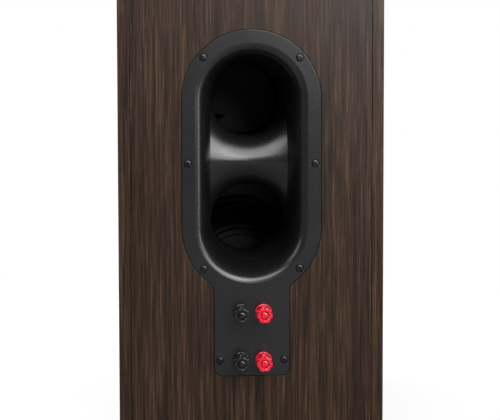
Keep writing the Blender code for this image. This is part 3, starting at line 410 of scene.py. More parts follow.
plate_plastic = grained("satin black moulding", (0.0060, 0.0061, 0.0062), (0.0078, 0.0079, 0.0081),
                        0.27, grain=0.30, depth=0.010, strength=0.15, specular_ior_level=0.62)
trim_plastic = grained("black trim moulding", (0.013, 0.013, 0.014), (0.016, 0.016, 0.017), 0.42,
                       grain=0.3)
baffle_paint = grained("black satin paint", (0.012, 0.012, 0.013), (0.015, 0.015, 0.016), 0.36,
                       grain=0.8, depth=0.01)
motor_black = grained("black motor shell", (0.008, 0.008, 0.009), (0.013, 0.013, 0.014), 0.5, grain=0.7)
# Painted shade: the leads are near-black so that they stay dark when seen through the ports.
insulation = grained("wire insulation", (0.010, 0.010, 0.011), (0.014, 0.014, 0.015), 0.45, grain=0.6)
rubber = grained("soft rubber", (0.012, 0.012, 0.013), (0.018, 0.018, 0.019), 0.62, grain=0.25)
foam = grained("closed-cell foam", (0.010, 0.010, 0.011), (0.028, 0.028, 0.030), 0.92,
               grain=0.5, depth=0.12)
fibreboard = grained("bare fibreboard", (0.26, 0.17, 0.10), (0.36, 0.25, 0.15), 0.85,
                     grain=0.6, depth=0.05)
cast_basket = grained("powder-coated casting", (0.03, 0.03, 0.033), (0.045, 0.045, 0.05), 0.5,
                      grain=0.6, depth=0.04)
ferrite = grained("ground ferrite", (0.045, 0.045, 0.05), (0.075, 0.075, 0.08), 0.55,
                  grain=0.4, metallic=0.3)
# Painted shade: the woofer's top plate and yoke get a dark zinc colour so that they stay dark through the
# ports.
zinc = grained("black-passivated zinc", (0.045, 0.045, 0.048), (0.075, 0.073, 0.070), 0.42,
               grain=0.7, metallic=0.9)
screw_black = grained("black oxide steel", (0.022, 0.022, 0.024), (0.045, 0.045, 0.048), 0.30,
                      grain=0.15, metallic=0.85)
gilt = grained("gilt brass", (0.72, 0.50, 0.20), (0.86, 0.66, 0.34), 0.20, grain=0.4, metallic=1.0)
print("plain finishes ready")

# %% [markdown]
# The knobs are moulded in clear tinted plastic. The colour comes from within, so the shader lets some
# light through, and a polished skin lies over it. Faint flow lines from the mould keep the surface
# from looking like glass. The red ones glow. The black ones let nothing through and are duller.

# %% Tinted clear plastic
def clear_tint(name, colour, deep, through, polish):
    tint = Finish(name, transmission_weight=through, ior=1.49, coat_weight=polish,
                  coat_roughness=0.05)
    flow = tint.noise(300, 3, 0.6, (1, 0.3, 1))
    tint.set("Base Color", tint.mix(tint.step(flow, 0.35, 0.7), colour, deep))
    tint.set("Roughness", 0.10 + flow * 0.12)
    tint.bump(flow, 0.2, 0.03 * MM)
    return tint.material


clear_red = clear_tint("clear red plastic", (0.95, 0.006, 0.045), (0.78, 0.004, 0.024), 0.25, 0.6)
clear_black = clear_tint("clear black plastic", (0.0045, 0.0045, 0.0048), (0.0075, 0.0075, 0.008),
                         0.0, 0.15)
pole_tint = {post: clear_red if post.endswith("positive") else clear_black for post in POSTS}
print({post: tint.name for post, tint in pole_tint.items()})

# %% [markdown]
# Woven and wound surfaces need a pattern with a direction. The spider is a coarse cloth stiffened
# with resin, the dome a fine coated weave, and the cone a sheet of pressed fibres. A winding is a
# row of wires side by side round its own axis, so its ridges are stripes along Y.

# %% Cloth, fibre, windings and the circuit board
BAND = 2 * math.pi / 20  # a Wave Texture of this scale has one band in a metre


def woven(name, colour, other, threads, gloss, depth):
    """threads per metre, crossing in X and Z."""
    cloth = Finish(name, sheen_weight=0.15)
    row = {"Vector": cloth.place, "Scale": threads * BAND}
    warp = cloth.node("ShaderNodeTexWave", {"bands_direction": "X"}, row)
    weft = cloth.node("ShaderNodeTexWave", {"bands_direction": "Z"}, row)
    fuzz = cloth.noise(2500, 2)
    height = warp * 0.5 + weft * 0.5 + fuzz * 0.3
    cloth.set("Base Color", cloth.mix(cloth.step(height, 0.4, 0.9), other, colour))
    cloth.set("Roughness", gloss + fuzz * 0.1)
    cloth.bump(height, 0.6, depth * MM)
    return cloth.material


def wound(name, colour, other, wire):
    """Turns of wire, each one wire millimetres wide, side by side along Y."""
    copper = Finish(name, metallic=1.0)
    stripes = {"Vector": copper.place, "Scale": BAND / (wire * MM)}
    ridge = copper.node("ShaderNodeTexWave", {"bands_direction": "Y"}, stripes)
    stain = copper.noise(160, 3)
    copper.set("Base Color", copper.mix(ridge * stain, other, colour))
    copper.set("Roughness", 0.28 + stain * 0.15)
    copper.bump(ridge, 0.8, 0.5 * wire * MM)
    return copper.material


def pressed_fibre(name):
    pulp = Finish(name, sheen_weight=0.1)
    clumps = pulp.noise(260, 4, 0.65)
    hairs = pulp.noise(1900, 3, 0.7, (1, 1, 0.35))
    mottle = pulp.step(clumps * 0.5 + hairs * 0.5, 0.35, 0.7)
    pulp.set("Base Color", pulp.mix(mottle, (0.016, 0.016, 0.017), (0.036, 0.036, 0.038)))
    pulp.set("Roughness", 0.55 + hairs * 0.2)
    pulp.bump(clumps * 0.6 + hairs * 0.4, 0.5, 0.08 * MM)
    return pulp.material


def solder_mask(name):
    board = Finish(name, coat_weight=0.4)
    cells = board.node("ShaderNodeTexVoronoi", {"feature": "DISTANCE_TO_EDGE"},
                       {"Vector": board.place, "Scale": 90.0})
    tracks = 1 - board.step(cells, 0.10, 0.14)
    board.set("Base Color", board.mix(tracks, (0.012, 0.11, 0.045), (0.03, 0.22, 0.09)))
    board.set("Roughness", 0.35 + board.noise(700) * 0.1)
    board.bump(tracks, 0.4, 0.03 * MM)
    return board.material


spider_cloth = woven("resin-stiffened cloth", (0.52, 0.40, 0.20), (0.36, 0.26, 0.12), 1400, 0.7,
                     0.15)
dome_cloth = woven("coated dome weave", (0.024, 0.024, 0.026), (0.013, 0.013, 0.014), 3600, 0.5,
                   0.04)
copper_turns = wound("enamelled copper turns", (0.80, 0.38, 0.18), (0.45, 0.17, 0.08), 0.5)
cone_fibre = pressed_fibre("pressed cone fibre")
circuit_green = solder_mask("green solder mask")
print(len(bpy.data.materials), "finishes")

# %% [markdown]
# Each piece is fitted in the same way: it takes one finish, rides on a body of the frame, and stands
# for the coarse node that it refines.

# %% Fitting a piece to the frame
bodies = frame["record"]["behaviour"]["bodies"]
body_of = {node: body for body, nodes in bodies.items() for node in nodes}


def fit(piece, node, finish_used, ride=True):
    piece.data.materials.clear()
    piece.data.materials.append(finish_used)
    if ride:
        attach(piece, body_of[node])
    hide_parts(node)
    print(f"{piece.name}: {len(piece.data.polygons)} faces")
    return piece


def paint(finish_used, *nodes):
    """A frame node whose own shape is good enough only takes a finish."""
    for node in nodes:
        materials = frame["nodes"][node].data.materials
        materials.clear()
        materials.append(finish_used)


# %% [markdown]
# ## The cabinet
#
# The panels of the frame have the right shape, but their edges are knife sharp, and no real edge is.
# A copy of each panel has its loose triangles welded and its flat faces dissolved back into one.
# A small Bevel then rounds the edges. That thin round catches the light along every joint, and it is
# what shows where one panel ends and the next begins.

# %% Panels with softened edges
def refined(node, width, segments=3):
    source = frame["nodes"][node]
    panel = bpy.data.objects.new(f"{node}_finished", source.data.copy())
    bpy.context.scene.collection.objects.link(panel)
    pick(panel)
    bpy.ops.object.mode_set(mode="EDIT")
    close_mesh()
    bpy.ops.mesh.dissolve_limited(angle_limit=math.radians(1))
    panel = finish(panel.name)
    return soften(panel, width, segments)


PANEL_EDGE = 0.5 * MM
for node in ("side_panel_left", "side_panel_right"):
    fit(refined(node, PANEL_EDGE), node, wood_upright)
for node in ("top_panel", "bottom_panel"):
    fit(refined(node, PANEL_EDGE), node, wood_across)
fit(refined("shelf_brace", PANEL_EDGE), "shelf_brace", fibreboard)

# %% [markdown]
# The back panel and the port plate share one outline: a round-ended shape with a tongue below it for
# the binding posts. The plate sits in a rebate of the same outline, a little larger, so one function
# draws both. It walks up the right half, arc by arc, and mirrors the points for the left.

# %% The plate's outline
PLATE_RADIUS, TONGUE_HALF, TONGUE_CORNER, NECK_FILLET = 59 * MM, 32 * MM, 7 * MM, 9 * MM


def arc(centre_point, radius, start, end, steps):
    for step in range(steps + 1):
        turn = math.radians(start + (end - start) * step / steps)
        yield (centre_point[0] + radius * math.cos(turn), centre_point[1] + radius * math.sin(turn))


def plate_outline(extra):
    """The plate's outline in (x, z), grown by extra."""
    radius, half = PLATE_RADIUS + extra, TONGUE_HALF + extra
    corner, fillet, foot = TONGUE_CORNER + extra, NECK_FILLET - extra, FOOT_Z - extra
    drop = math.sqrt((radius + fillet) ** 2 - (half + fillet) ** 2)
    neck = math.degrees(math.atan2(drop, half + fillet))
    right = [
        *arc((half - corner, foot + corner), corner, -90, 0, 8),
        *arc((half + fillet, LOW - drop), fillet, 180, 180 - neck, 8),
        *arc((0.0, LOW), radius, -neck, 0, 18),
        *arc((0.0, HIGH), radius, 0, 90, 32),
    ]
    outline = right + [(-x, z) for x, z in reversed(right[:-1])]
    return [a for a, b in zip(outline, outline[1:] + outline[:1]) if math.dist(a, b) > 2e-6]


def stadium(radius, steps=48):
    return [*arc((0.0, HIGH), radius, 0, 180, steps), *arc((0.0, LOW), radius, 180, 360, steps)]


print("outline of", len(plate_outline(0.0)), "points")

# %% [markdown]
# The back panel starts as a block of the panel's own size. It loses the rebate, the hole that the
# port tray drops through, the window behind the posts and the screws' pilot holes. The cutters are
# joined first where they don't touch, because one Boolean is quicker and cleaner than eight.

# %% Back panel
REBATE_GAP, REBATE_DEPTH, TRAY_HOLE_RADIUS = 0.4 * MM, 4.4 * MM, 48.1 * MM
WINDOW_HALF, WINDOW_FOOT, WINDOW_HEAD = 17 * MM, FOOT_Z + 6 * MM, FOOT_Z + 62 * MM
PILOT_RADIUS, PILOT_DEPTH = 1.95 * MM, 14 * MM


def gathered(pieces):
    """Several pieces joined into one object."""
    pick(pieces[0])
    for piece in pieces:
        piece.select_set(True)
    bpy.ops.object.join()
    return bpy.context.object


def row_of(source, places):
    """source, which stands at x = z = 0, copied to every (x, z) place and joined."""
    made = [copied(source, f"{source.name}_{x:.3f}_{z:.3f}", (x, 0, z)) for x, z in places]
    bpy.data.objects.remove(source)
    return gathered(made)


low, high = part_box("rear_panel")
back = brick("back_panel", low, high)
rebate = slab("rebate", plate_outline(REBATE_GAP), FACE_Y - REBATE_DEPTH, REAR_Y + 2 * MM)
tray_hole = slab("tray_hole", stadium(TRAY_HOLE_RADIUS), low.y - MM, REAR_Y + MM)
window = brick("window", (-WINDOW_HALF, low.y - MM, WINDOW_FOOT), (WINDOW_HALF, REAR_Y, WINDOW_HEAD))
pilot = peg("pilot", (0, 0), PILOT_RADIUS, FACE_Y - PILOT_DEPTH, REAR_Y, 16)
combine(back, rebate, tray_hole, window, row_of(pilot, screw_at))
fit(soften(back, 0.3 * MM), "rear_panel", wood_upright)

# %% [markdown]
# The front baffle is a painted board with a stepped hole for each driver: a shallow rebate for the
# flange and a through hole for the body. A turned cutter makes both steps at once.

# %% Front baffle
low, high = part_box("front_baffle")
baffle = brick("baffle", low, high)


def from_baffle(points):
    """(radius, y) in millimetres, measured in from the baffle's face, as metres."""
    return [(radius * MM, FRONT_Y + y * MM) for radius, y in points]


def stepped_cutter(name, rebate_radius, rebate_depth, hole_radius, at):
    before, beyond = -2, 22  # in front of the board and behind it
    steps = [(0, before), (rebate_radius, before), (rebate_radius, rebate_depth),
             (hole_radius, rebate_depth), (hole_radius, beyond), (0, beyond)]
    return turned(name, from_baffle(steps), at, ring=False)


woofer_cutter = stepped_cutter("woofer_cutter", 82.6, 6.5, 76.1, WOOFER)
tweeter_cutter = stepped_cutter("tweeter_cutter", 64.6, 2.3, 51, TWEETER)
combine(baffle, woofer_cutter, tweeter_cutter)
fit(soften(baffle, 0.6 * MM, 3), "front_baffle", baffle_paint)

# %% [markdown]
# Four rubber feet. Each is a short cylinder with a hollowed sole, so that it grips with its rim. The
# sole's face is chosen by its normal, inset and pushed up, and a bevel rounds what is left.

# %% Feet
def rubber_foot(node):
    low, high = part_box(node)
    radius, tall = (high.x - low.x) / 2, high.z - low.z
    clear_bench()
    middle = (low + high) / 2
    bpy.ops.mesh.primitive_cylinder_add(vertices=48, radius=radius, depth=tall, location=middle)
    bpy.ops.object.mode_set(mode="EDIT")
    bpy.ops.mesh.select_all(action="DESELECT")
    mesh = bmesh.from_edit_mesh(bpy.context.object.data)
    for face in mesh.faces:
        face.select_set(face.normal.z < -0.9)
    bpy.ops.mesh.inset(thickness=0.3 * radius)
    bpy.ops.transform.translate(value=(0, 0, 0.2 * tall))
    return soften(finish(f"{node}_rubber"), 0.12 * tall, 4, 40)


for end in ("front", "rear"):
    for side in ("left", "right"):
        node = f"foot_{end}_{side}"
        fit(rubber_foot(node), node, rubber)

# %% [markdown]
# ## The port plate
#
# This moulding makes the character of the back. Two reflex ports end in one long tray with a bell
# mouth: its wall starts level with the plate and turns down in a quarter of an ellipse. Between the
# ports the floor rises to a saddle, where the round flare of one port meets the flare of the other.
# It is made as a mould maker would: the air of the tray is one solid, and it is cut from the plate.
#
# A profile swept round a long hole is two half turns joined by two straight runs.

# %% Sweeping a profile round the tray
def tray_sweep(name, profile, steps=48):
    """A solid with a profile of (radius, y) points carried round both ports, closed top and bottom."""
    draw([(radius, y, HIGH) for radius, y in profile])
    bpy.ops.mesh.select_all(action="SELECT")
    for middle, run in ((HIGH, LOW - HIGH), (LOW, HIGH - LOW)):
        bpy.ops.mesh.spin(steps=steps, angle=math.pi, center=(0, 0, middle), axis=(0, 1, 0))
        bpy.ops.mesh.extrude_region_move(TRANSFORM_OT_translate={"value": (0, 0, run)})
    close_mesh()
    bpy.ops.mesh.fill_holes(sides=0)
    bpy.ops.mesh.normals_make_consistent(inside=False)
    return finish(name)


TRAY_MOUTH, THROAT, TRAY_DEPTH, TRAY_WALL = 48 * MM, 33.4 * MM, 65 * MM, 3 * MM
PORT_RADIUS, FLARE_REACH, FLARE_HEIGHT = 33 * MM, 50 * MM, 25 * MM
FLANGE, SPIGOT = 3 * MM, 11 * MM  # thickness of the plate, and length of a port's spigot
FLOOR_Y, BACK_Y = FACE_Y - TRAY_DEPTH, FACE_Y - TRAY_DEPTH - TRAY_WALL
DEEP_Y = BACK_Y - SPIGOT - MM


def from_face(points):
    """(radius, y) in millimetres from the plate's outer face, as metres."""
    return [(radius * MM, FACE_Y + y * MM) for radius, y in points]


def bell(start, steps=22):
    """(radius, y) down the outside of the tray, whose curve is a quarter of an ellipse."""
    for step in range(steps + 1):
        turn = start + (math.pi / 2 - start) * step / steps
        yield (THROAT + (TRAY_MOUTH - THROAT) * (1 - math.sin(turn)) + TRAY_WALL,
               FACE_Y - TRAY_DEPTH * (1 - math.cos(turn)))


def flare(steps=56):
    """(radius, y) of the round that leads into a port, from the bore outwards."""
    for step in range(steps + 1):
        turn = math.pi / 2 * step / steps
        yield (PORT_RADIUS + FLARE_REACH * (1 - math.cos(turn)),
               FLOOR_Y + FLARE_HEIGHT * math.sin(turn))


print("the tray is", round((FACE_Y - FLOOR_Y) / MM), "mm deep")

# %% [markdown]
# The ridge between the flares is not sharp on the moulding. So the upper port's air is lowered along
# the ridge with a soft minimum of the two flares' heights, cut at half height, and mirrored. Both
# halves then meet level, and the ridge is a smooth roll with no seam. The tray's lip is one Bezier
# curve, which leaves the flat face in a full round and ends upright at the floor.

# %% Air of the tray
RIDGE_ROUND = 2.6 * MM
LIP = [(48, 0), (38.4, -1.1), (33.8, -16), (33.4, -65)]


def flare_height(distance):
    """Height of a flare above the tray's floor, at a distance from its port's axis."""
    share = min(1.0, max(0.0, (distance - PORT_RADIUS) / FLARE_REACH))
    return FLARE_HEIGHT * math.sqrt(1 - (1 - share) ** 2)


def roll_ridge(body):
    """Lowers the flare of the upper port where it nears the flare of the lower one."""
    for vertex in body.data.vertices:
        here, there = (flare_height(math.hypot(vertex.co.x, vertex.co.z - z)) for z in (HIGH, LOW))
        on_flare = abs(vertex.co.y - FLOOR_Y - here) < 0.01 * MM and here > 0
        overlap = max(0.0, RIDGE_ROUND - abs(here - there)) / RIDGE_ROUND
        if on_flare:
            vertex.co.y = FLOOR_Y + min(here, there) - overlap**2 * RIDGE_ROUND / 4


def mirrored(body, height):
    """The part of a body above a height, with its mirror image joined on below."""
    pick(body)
    bpy.ops.object.mode_set(mode="EDIT")
    bpy.ops.mesh.select_all(action="SELECT")
    bpy.ops.mesh.bisect(plane_co=(0, 0, height), plane_no=(0, 0, 1), clear_inner=True)
    bpy.ops.mesh.select_all(action="SELECT")
    bpy.ops.mesh.duplicate()
    bpy.ops.transform.resize(value=(1, 1, -1), center_override=(0, 0, height))
    close_mesh()
    return finish(body.name)


def lip_curve(steps=40):
    """(radius, y) down the inner wall: a Bezier curve with a full round at the mouth."""
    corners = from_face(LIP)
    for step in range(steps + 1):
        t = (step / steps) ** 1.2
        weights = ((1 - t) ** 3, 3 * t * (1 - t) ** 2, 3 * t * t * (1 - t), t**3)
        yield tuple(sum(weight * corner[axis] for weight, corner in zip(weights, corners))
                    for axis in (0, 1))


wall = list(lip_curve())
air = tray_sweep("tray_air", [(TRAY_MOUTH, FACE_Y + MM), *wall, (wall[-1][0], DEEP_Y)], 64)
widest = PORT_RADIUS + FLARE_REACH
inner, outer = DEEP_Y - MM, FACE_Y + 2 * MM
profile = [(0, inner), (PORT_RADIUS, inner), *flare(), (widest, outer), (0, outer)]
port_air = turned("port_air", profile, (0.0, HIGH), 128, ring=False)
roll_ridge(port_air)
combine(air, mirrored(port_air, MIDDLE), operation="INTERSECT")
print("air of the tray:", len(air.data.polygons), "faces")

# %% [markdown]
# The plate is the outline as a slab with a rounded rim. The outside of the tray and the two spigots
# are joined on behind it, and the air comes out last, together with the holes. A Weighted Normal
# modifier keeps the broad flat face truly flat where it meets the curve of the mouth.

# %% Port plate
SCREW_SEAT = [(0, -5), (1.95, -5), (1.95, -2), (3.46, -2), (3.46, -0.3), (3.8, 0.04), (3.8, 1), (0, 1)]
POST_HOLE_RADIUS = 4.85 * MM
RIM_ROUND = 0.45 * MM

plate = soften(slab("port_moulding", plate_outline(0.0), FACE_Y - FLANGE, FACE_Y), RIM_ROUND, 3)
inside_the_plate = math.acos(1 - FLANGE / 2 / TRAY_DEPTH)
outside = tray_sweep("tray_outside", [*bell(inside_the_plate), (THROAT + TRAY_WALL, BACK_Y)])
spigots = [peg(f"spigot_{z:.3f}", (0, z), PORT_RADIUS + TRAY_WALL, BACK_Y - SPIGOT,
               BACK_Y + TRAY_WALL / 2, 96) for z in (HIGH, LOW)]
combine(plate, outside, gathered(spigots), operation="UNION")
seat = turned("seat", from_face(SCREW_SEAT), (0.0, 0.0), 32, ring=False)
post_hole = peg("post_hole", (0, 0), POST_HOLE_RADIUS, FACE_Y - 2 * FLANGE, FACE_Y + MM, 40)
holes = gathered([row_of(seat, screw_at), row_of(post_hole, post_at.values())])
combine(plate, air, holes)
pick(plate)
bpy.ops.object.mode_set(mode="EDIT")
bpy.ops.mesh.select_all(action="SELECT")
bpy.ops.mesh.dissolve_degenerate(threshold=0.03 * MM)
bpy.ops.object.mode_set(mode="OBJECT")
reshade(plate, 13)
work(plate, "WEIGHTED_NORMAL", keep_sharp=True, weight=80)
fit(plate, "port_plate", plate_plastic)
paint(foam, "plate_gasket")

# %% [markdown]
# Behind each port a tube slides over its spigot and runs into the cabinet, and its inner end is
# flared so that the air doesn't chuff. It is a single turned profile with a rounded lip.

# %% Port tubes
TUBE = [
    (36.3, -68.3), (38.8, -68.3), (38.8, -130.3), (39.6, -134), (41.2, -137.6), (43.3, -139.6),
    (43.0, -140.3), (41.0, -140.1), (38.2, -138.4), (35.6, -135.5), (33.8, -132.6), (33, -129),
    (33, -79.3), (36.3, -79.3),
]
tube = turned("port_tube_pattern", from_face(TUBE), (0.0, 0.0), angle=40)
for which, z in PORTS.items():
    fit(copied(tube, f"port_tube_{which}_turned", (0, 0, z)), f"port_tube_{which}", plate_plastic)
bpy.data.objects.remove(tube)

# %% [markdown]
# Eight black socket screws hold the plate. The head is a low dome, so it throws a bright point of
# light inside its dark counterbore. The socket is a six-sided peg cut into it. A real thread is a
# helix, but rings at the same pitch look the same on a screw this small and take far fewer faces.

# %% Screws
def thread(radius, depth, pitch, y_from, y_to):
    """Rings of a thread from y_from down to y_to, in millimetres."""
    for turn in range(int((y_from - y_to) / pitch)):
        yield (radius, y_from - pitch * (turn + 0.25))
        yield (radius - depth, y_from - pitch * (turn + 0.75))


HEAD_RADIUS, SHANK_RADIUS, DOME, SOCKET_RADIUS, SOCKET_DEPTH = 2.9, 1.6, 0.75, 1.45 * MM, 1.3 * MM
dome = [(HEAD_RADIUS * math.sin(turn), -0.95 + DOME * math.cos(turn)) for turn in
        (math.radians(step) for step in (15, 30, 45, 60, 75, 90))]
head = [(0, -0.2), *dome, (HEAD_RADIUS, -1.7), (SHANK_RADIUS, -1.7)]
screw_profile = [*head, *thread(SHANK_RADIUS, 0.35, 1.0, -2.2, -11.2), (1.2, -11.5), (0, -13.2)]
screw = turned("screw_pattern", from_face(screw_profile), (0.0, 0.0), 32, ring=False, angle=40)
combine(screw, peg("socket", (0, 0), SOCKET_RADIUS, FACE_Y - SOCKET_DEPTH, FACE_Y + MM, 6))
for node, (x, z) in zip(SCREWS, screw_at):
    fit(copied(screw, f"{node}_socket_head", (x, 0, z)), node, screw_black)
bpy.data.objects.remove(screw)

# %% [markdown]
# ## Binding posts
#
# Each post is a gilt stud through a clear collar, with a washer, a clamping knob and a small stopper
# in the banana socket. Six flutes give the knob its grip. The pattern is made at the origin of X and
# Z and copied to the four places. The washer and knob run on the stud's thread, the stopper pulls out.

# %% Patterns of the post
COLLAR = [(3.3, -3), (4.5, -3), (4.5, 0.3), (6.9, 0.3), (7.2, 0.6), (7.2, 2.3), (7.05, 2.7),
          (6.7, 2.95), (3.6, 3), (3.3, 2.8)]
WASHER = [(3.35, 3.45), (3.5, 3.3), (5.45, 3.3), (5.6, 3.45), (5.6, 4.15), (5.45, 4.3), (3.5, 4.3),
          (3.35, 4.15)]
CAP = [(3.35, 4.8), (3.6, 4.6), (6.3, 4.6), (6.65, 4.95), (6.65, 8.2), (6.5, 8.5), (6.5, 8.9),
       (6.65, 9.2), (6.65, 20.1), (6.55, 20.6), (6.2, 21.0), (5.7, 21.2), (4.3, 21.2), (3.9, 20.9),
       (3.35, 20.3)]
PLUG = [(0, 9.8), (1.4, 9.8), (1.75, 10.3), (1.75, 18.8), (3, 18.8), (3, 19.9), (2.8, 20.3),
        (2.3, 20.6), (1.5, 20.8), (0, 20.8)]
STUD = [(0, -24.1), (1.7, -24.1), (2, -23.8), (2, -19.2), (2.8, -19.2), (3, -19.0), (3, 3.2),
        *list(thread(3, 0.3, 0.8, 17.6, 3.4))[::-1], (3, 18.0), (2.7, 18.5), (2.3, 18.5), (2.1, 18.2),
        (2.1, 5.5), (0, 5.5)]
collar = turned("collar_pattern", from_face(COLLAR), (0.0, 0.0), 64)
washer = turned("washer_pattern", from_face(WASHER), (0.0, 0.0), 64)
cap = turned("cap_pattern", from_face(CAP), (0.0, 0.0), 96)
plug = turned("plug_pattern", from_face(PLUG), (0.0, 0.0), 48, ring=False)
stud = turned("stud_pattern", from_face(STUD), (0.0, 0.0), 40, ring=False)
print("five patterns turned")

# %% [markdown]
# The knob's flutes are round bars laid along it and cut out together. Behind the plate a hexagonal
# nut is joined to the stud, and a hole for bare wire is drilled across it.

# %% Flutes, nut and wire hole
FLUTES, FLUTE_AT, FLUTE_RADIUS = 6, 6.95 * MM, 1.5 * MM
NUT_RADIUS, NUT_FROM, NUT_TO = 5 * MM, FACE_Y - 7.3 * MM, FACE_Y - 3.3 * MM
WIRE_HOLE_RADIUS, WIRE_HOLE_Y = 1.1 * MM, FACE_Y + 5.7 * MM
flute = soften(peg("flute", (0, 0), FLUTE_RADIUS, FACE_Y + 9.1 * MM, FACE_Y + 23 * MM, 24), 0.5 * MM, 3)
turns = [2 * math.pi * (number + 0.5) / FLUTES for number in range(FLUTES)]
combine(cap, row_of(flute, [(FLUTE_AT * math.cos(turn), FLUTE_AT * math.sin(turn)) for turn in turns]))
soften(cap, 0.16 * MM, 2, 35)
nut = soften(peg("nut", (0, 0), NUT_RADIUS, NUT_FROM, NUT_TO, 6), 0.3 * MM)
combine(stud, nut, operation="UNION")
clear_bench()
bpy.ops.mesh.primitive_cylinder_add(
    vertices=24, radius=WIRE_HOLE_RADIUS, depth=12 * MM,
    location=(0, WIRE_HOLE_Y, 0), rotation=(0, math.pi / 2, 0),
)
combine(stud, finish("wire_hole"))
reshade(stud, 35)
print("knob with", FLUTES, "flutes:", len(cap.data.polygons), "faces")

# %% [markdown]
# The finished patterns are copied to the four places, each copy with its own mesh. A red and a black
# post differ only in the tint of their plastic.

# %% Four posts
for post, (x, z) in post_at.items():
    tint = pole_tint[post]
    for pattern, part, finish_used in (
        (stud, "stud", gilt), (collar, "collar", tint), (washer, "washer", gilt),
        (cap, "cap", tint), (plug, "plug", tint),
    ):
        fit(copied(pattern, f"{post}_{part}_turned", (x, 0, z)), f"{post}_{part}", finish_used)
for pattern in (stud, collar, washer, cap, plug):
    bpy.data.objects.remove(pattern)

# %% [markdown]
# ## The woofer
#
# The woofer sits on the front. Its basket is a casting with eight arms: the bell is turned, and a
# ring-shaped cutter, from which four bars have been taken, leaves the arms standing. The turned
# pieces before and behind it share its axis, so their profiles are all measured from the baffle.

# %% Basket
BASKET = [(82, 3.0), (81.7, 2.7), (70.5, 2.7), (70.5, 6.2), (48, 36.5), (40, 36.5), (40, 45),
          (47.6, 45), (48, 44.6), (48, 39.5), (51, 36.5), (73.5, 6.2), (82, 6.2)]
OPENINGS = [(40, 9.2), (79.5, 9.2), (79.5, 33.5), (40, 33.5)]
ARM_HALF, BASKET_DEPTH = 6 * MM, 45 * MM
TAB_FROM, TAB_TO, TAB_HALF, TAB_THICKNESS = -58 * MM, -45 * MM, 5 * MM, 2 * MM
basket = turned("basket_casting", from_baffle(BASKET), WOOFER)
openings = turned("openings", from_baffle(OPENINGS), WOOFER)
for number in range(4):
    bar = brick("bar", (-150 * MM, FRONT_Y, WOOFER[1] - ARM_HALF),
                (150 * MM, FRONT_Y + BASKET_DEPTH, WOOFER[1] + ARM_HALF))
    pick(bar)
    bpy.ops.transform.rotate(value=math.radians(22.5 + 45 * number), orient_axis="Y",
                             center_override=(0, FRONT_Y, WOOFER[1]))
    combine(openings, finish("bar"))
tab_back = FRONT_Y + BASKET_DEPTH
tab = brick("lead_tab", (TAB_FROM, tab_back - TAB_THICKNESS, WOOFER[1] - TAB_HALF),
            (TAB_TO, tab_back, WOOFER[1] + TAB_HALF))
combine(basket, openings)
combine(basket, tab, operation="UNION")
fit(soften(basket, 0.5 * MM, 2, 40), "woofer_basket", cast_basket)

# %% [markdown]
# The surround is a half roll of rubber between two flat lips, and the spider is a corrugated cloth
# disc near the coil. Both are held at their outer edge and travel with the cone at their inner edge,
# so they bend. Their points carry a share of the motion that depends on the distance from the axis.

# %% Surround and spider
def half_roll(middle, reach, depth, y_lip, steps=20):
    return [(middle + reach * math.cos(turn), y_lip - depth * math.sin(turn)) for turn in
            (math.pi * step / steps for step in range(steps + 1))]


surround = [(75, 1.4), *half_roll(63.5, 5.5, 3.6, 1.4), (55, 1.4)]
surround += [(55, 2.4), *half_roll(63.5, 4.5, 3.6, 2.4)[::-1], (75, 2.4)]
RINGS, RING_HEIGHT, SPIDER_Y, CLOTH = 5, 0.95, 35.4, 0.8
SPIDER_INNER, RIPPLED, SPIDER_STEPS = 17.5, 22.5, 60
ripple = []
for step in range(SPIDER_STEPS + 1):
    share = step / SPIDER_STEPS
    fade = min(1, 6 * share, 6 * (1 - share))  # the rings die away towards both edges
    wave = RING_HEIGHT * fade * math.sin(2 * math.pi * RINGS * share)
    ripple.append((SPIDER_INNER + RIPPLED * share, SPIDER_Y + wave))
spider = [*ripple, (47, SPIDER_Y), (47, SPIDER_Y + CLOTH)]
spider += [(radius, y + CLOTH) for radius, y in ripple[::-1]]


def flexes(piece, held_radius, moving_radius):
    """Points follow the cabinet beyond held_radius, and the cone within moving_radius."""
    at = Vector((WOOFER[0], 0, WOOFER[1]))
    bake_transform(piece, "cabinet", "woofer_moving", start=at + Vector((held_radius, 0, 0)),
             end=at + Vector((moving_radius, 0, 0)))
    for vertex, share in zip(piece.data.vertices, piece.data.attributes["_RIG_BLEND"].data):
        radius = math.hypot(vertex.co.x - at.x, vertex.co.z - at.z)
        part = min(1, max(0, (held_radius - radius) / (held_radius - moving_radius)))
        share.value = part * part * (3 - 2 * part)


for name, node, profile, held, moving, finish_used in (
    ("surround_roll", "woofer_surround", surround, 69 * MM, 58 * MM, rubber),
    ("spider_rippled", "woofer_spider", spider, 40 * MM, 18 * MM, spider_cloth),
):
    piece = turned(name, from_baffle(profile), WOOFER, angle=50)
    fit(piece, node, finish_used, ride=False)
    flexes(piece, held, moving)

# %% [markdown]
# The cone is steeper towards its neck, and a domed cap closes it. Cone, cap and coil are glued to one
# another, so they ride on one body.

# %% Cone, cap and coil
NECK, CONE_RUN, CONE_STEPS, PAPER = 17.5, 37.5, 24, 1.2
CAP_RADIUS, CAP_EDGE_Y, CAP_RISE, CAP_STEPS = 24, 19.44, 6.5, 14


def cone_depth(radius):
    return 2.7 + 22 * (1 - ((radius - NECK) / CONE_RUN) ** 0.85)


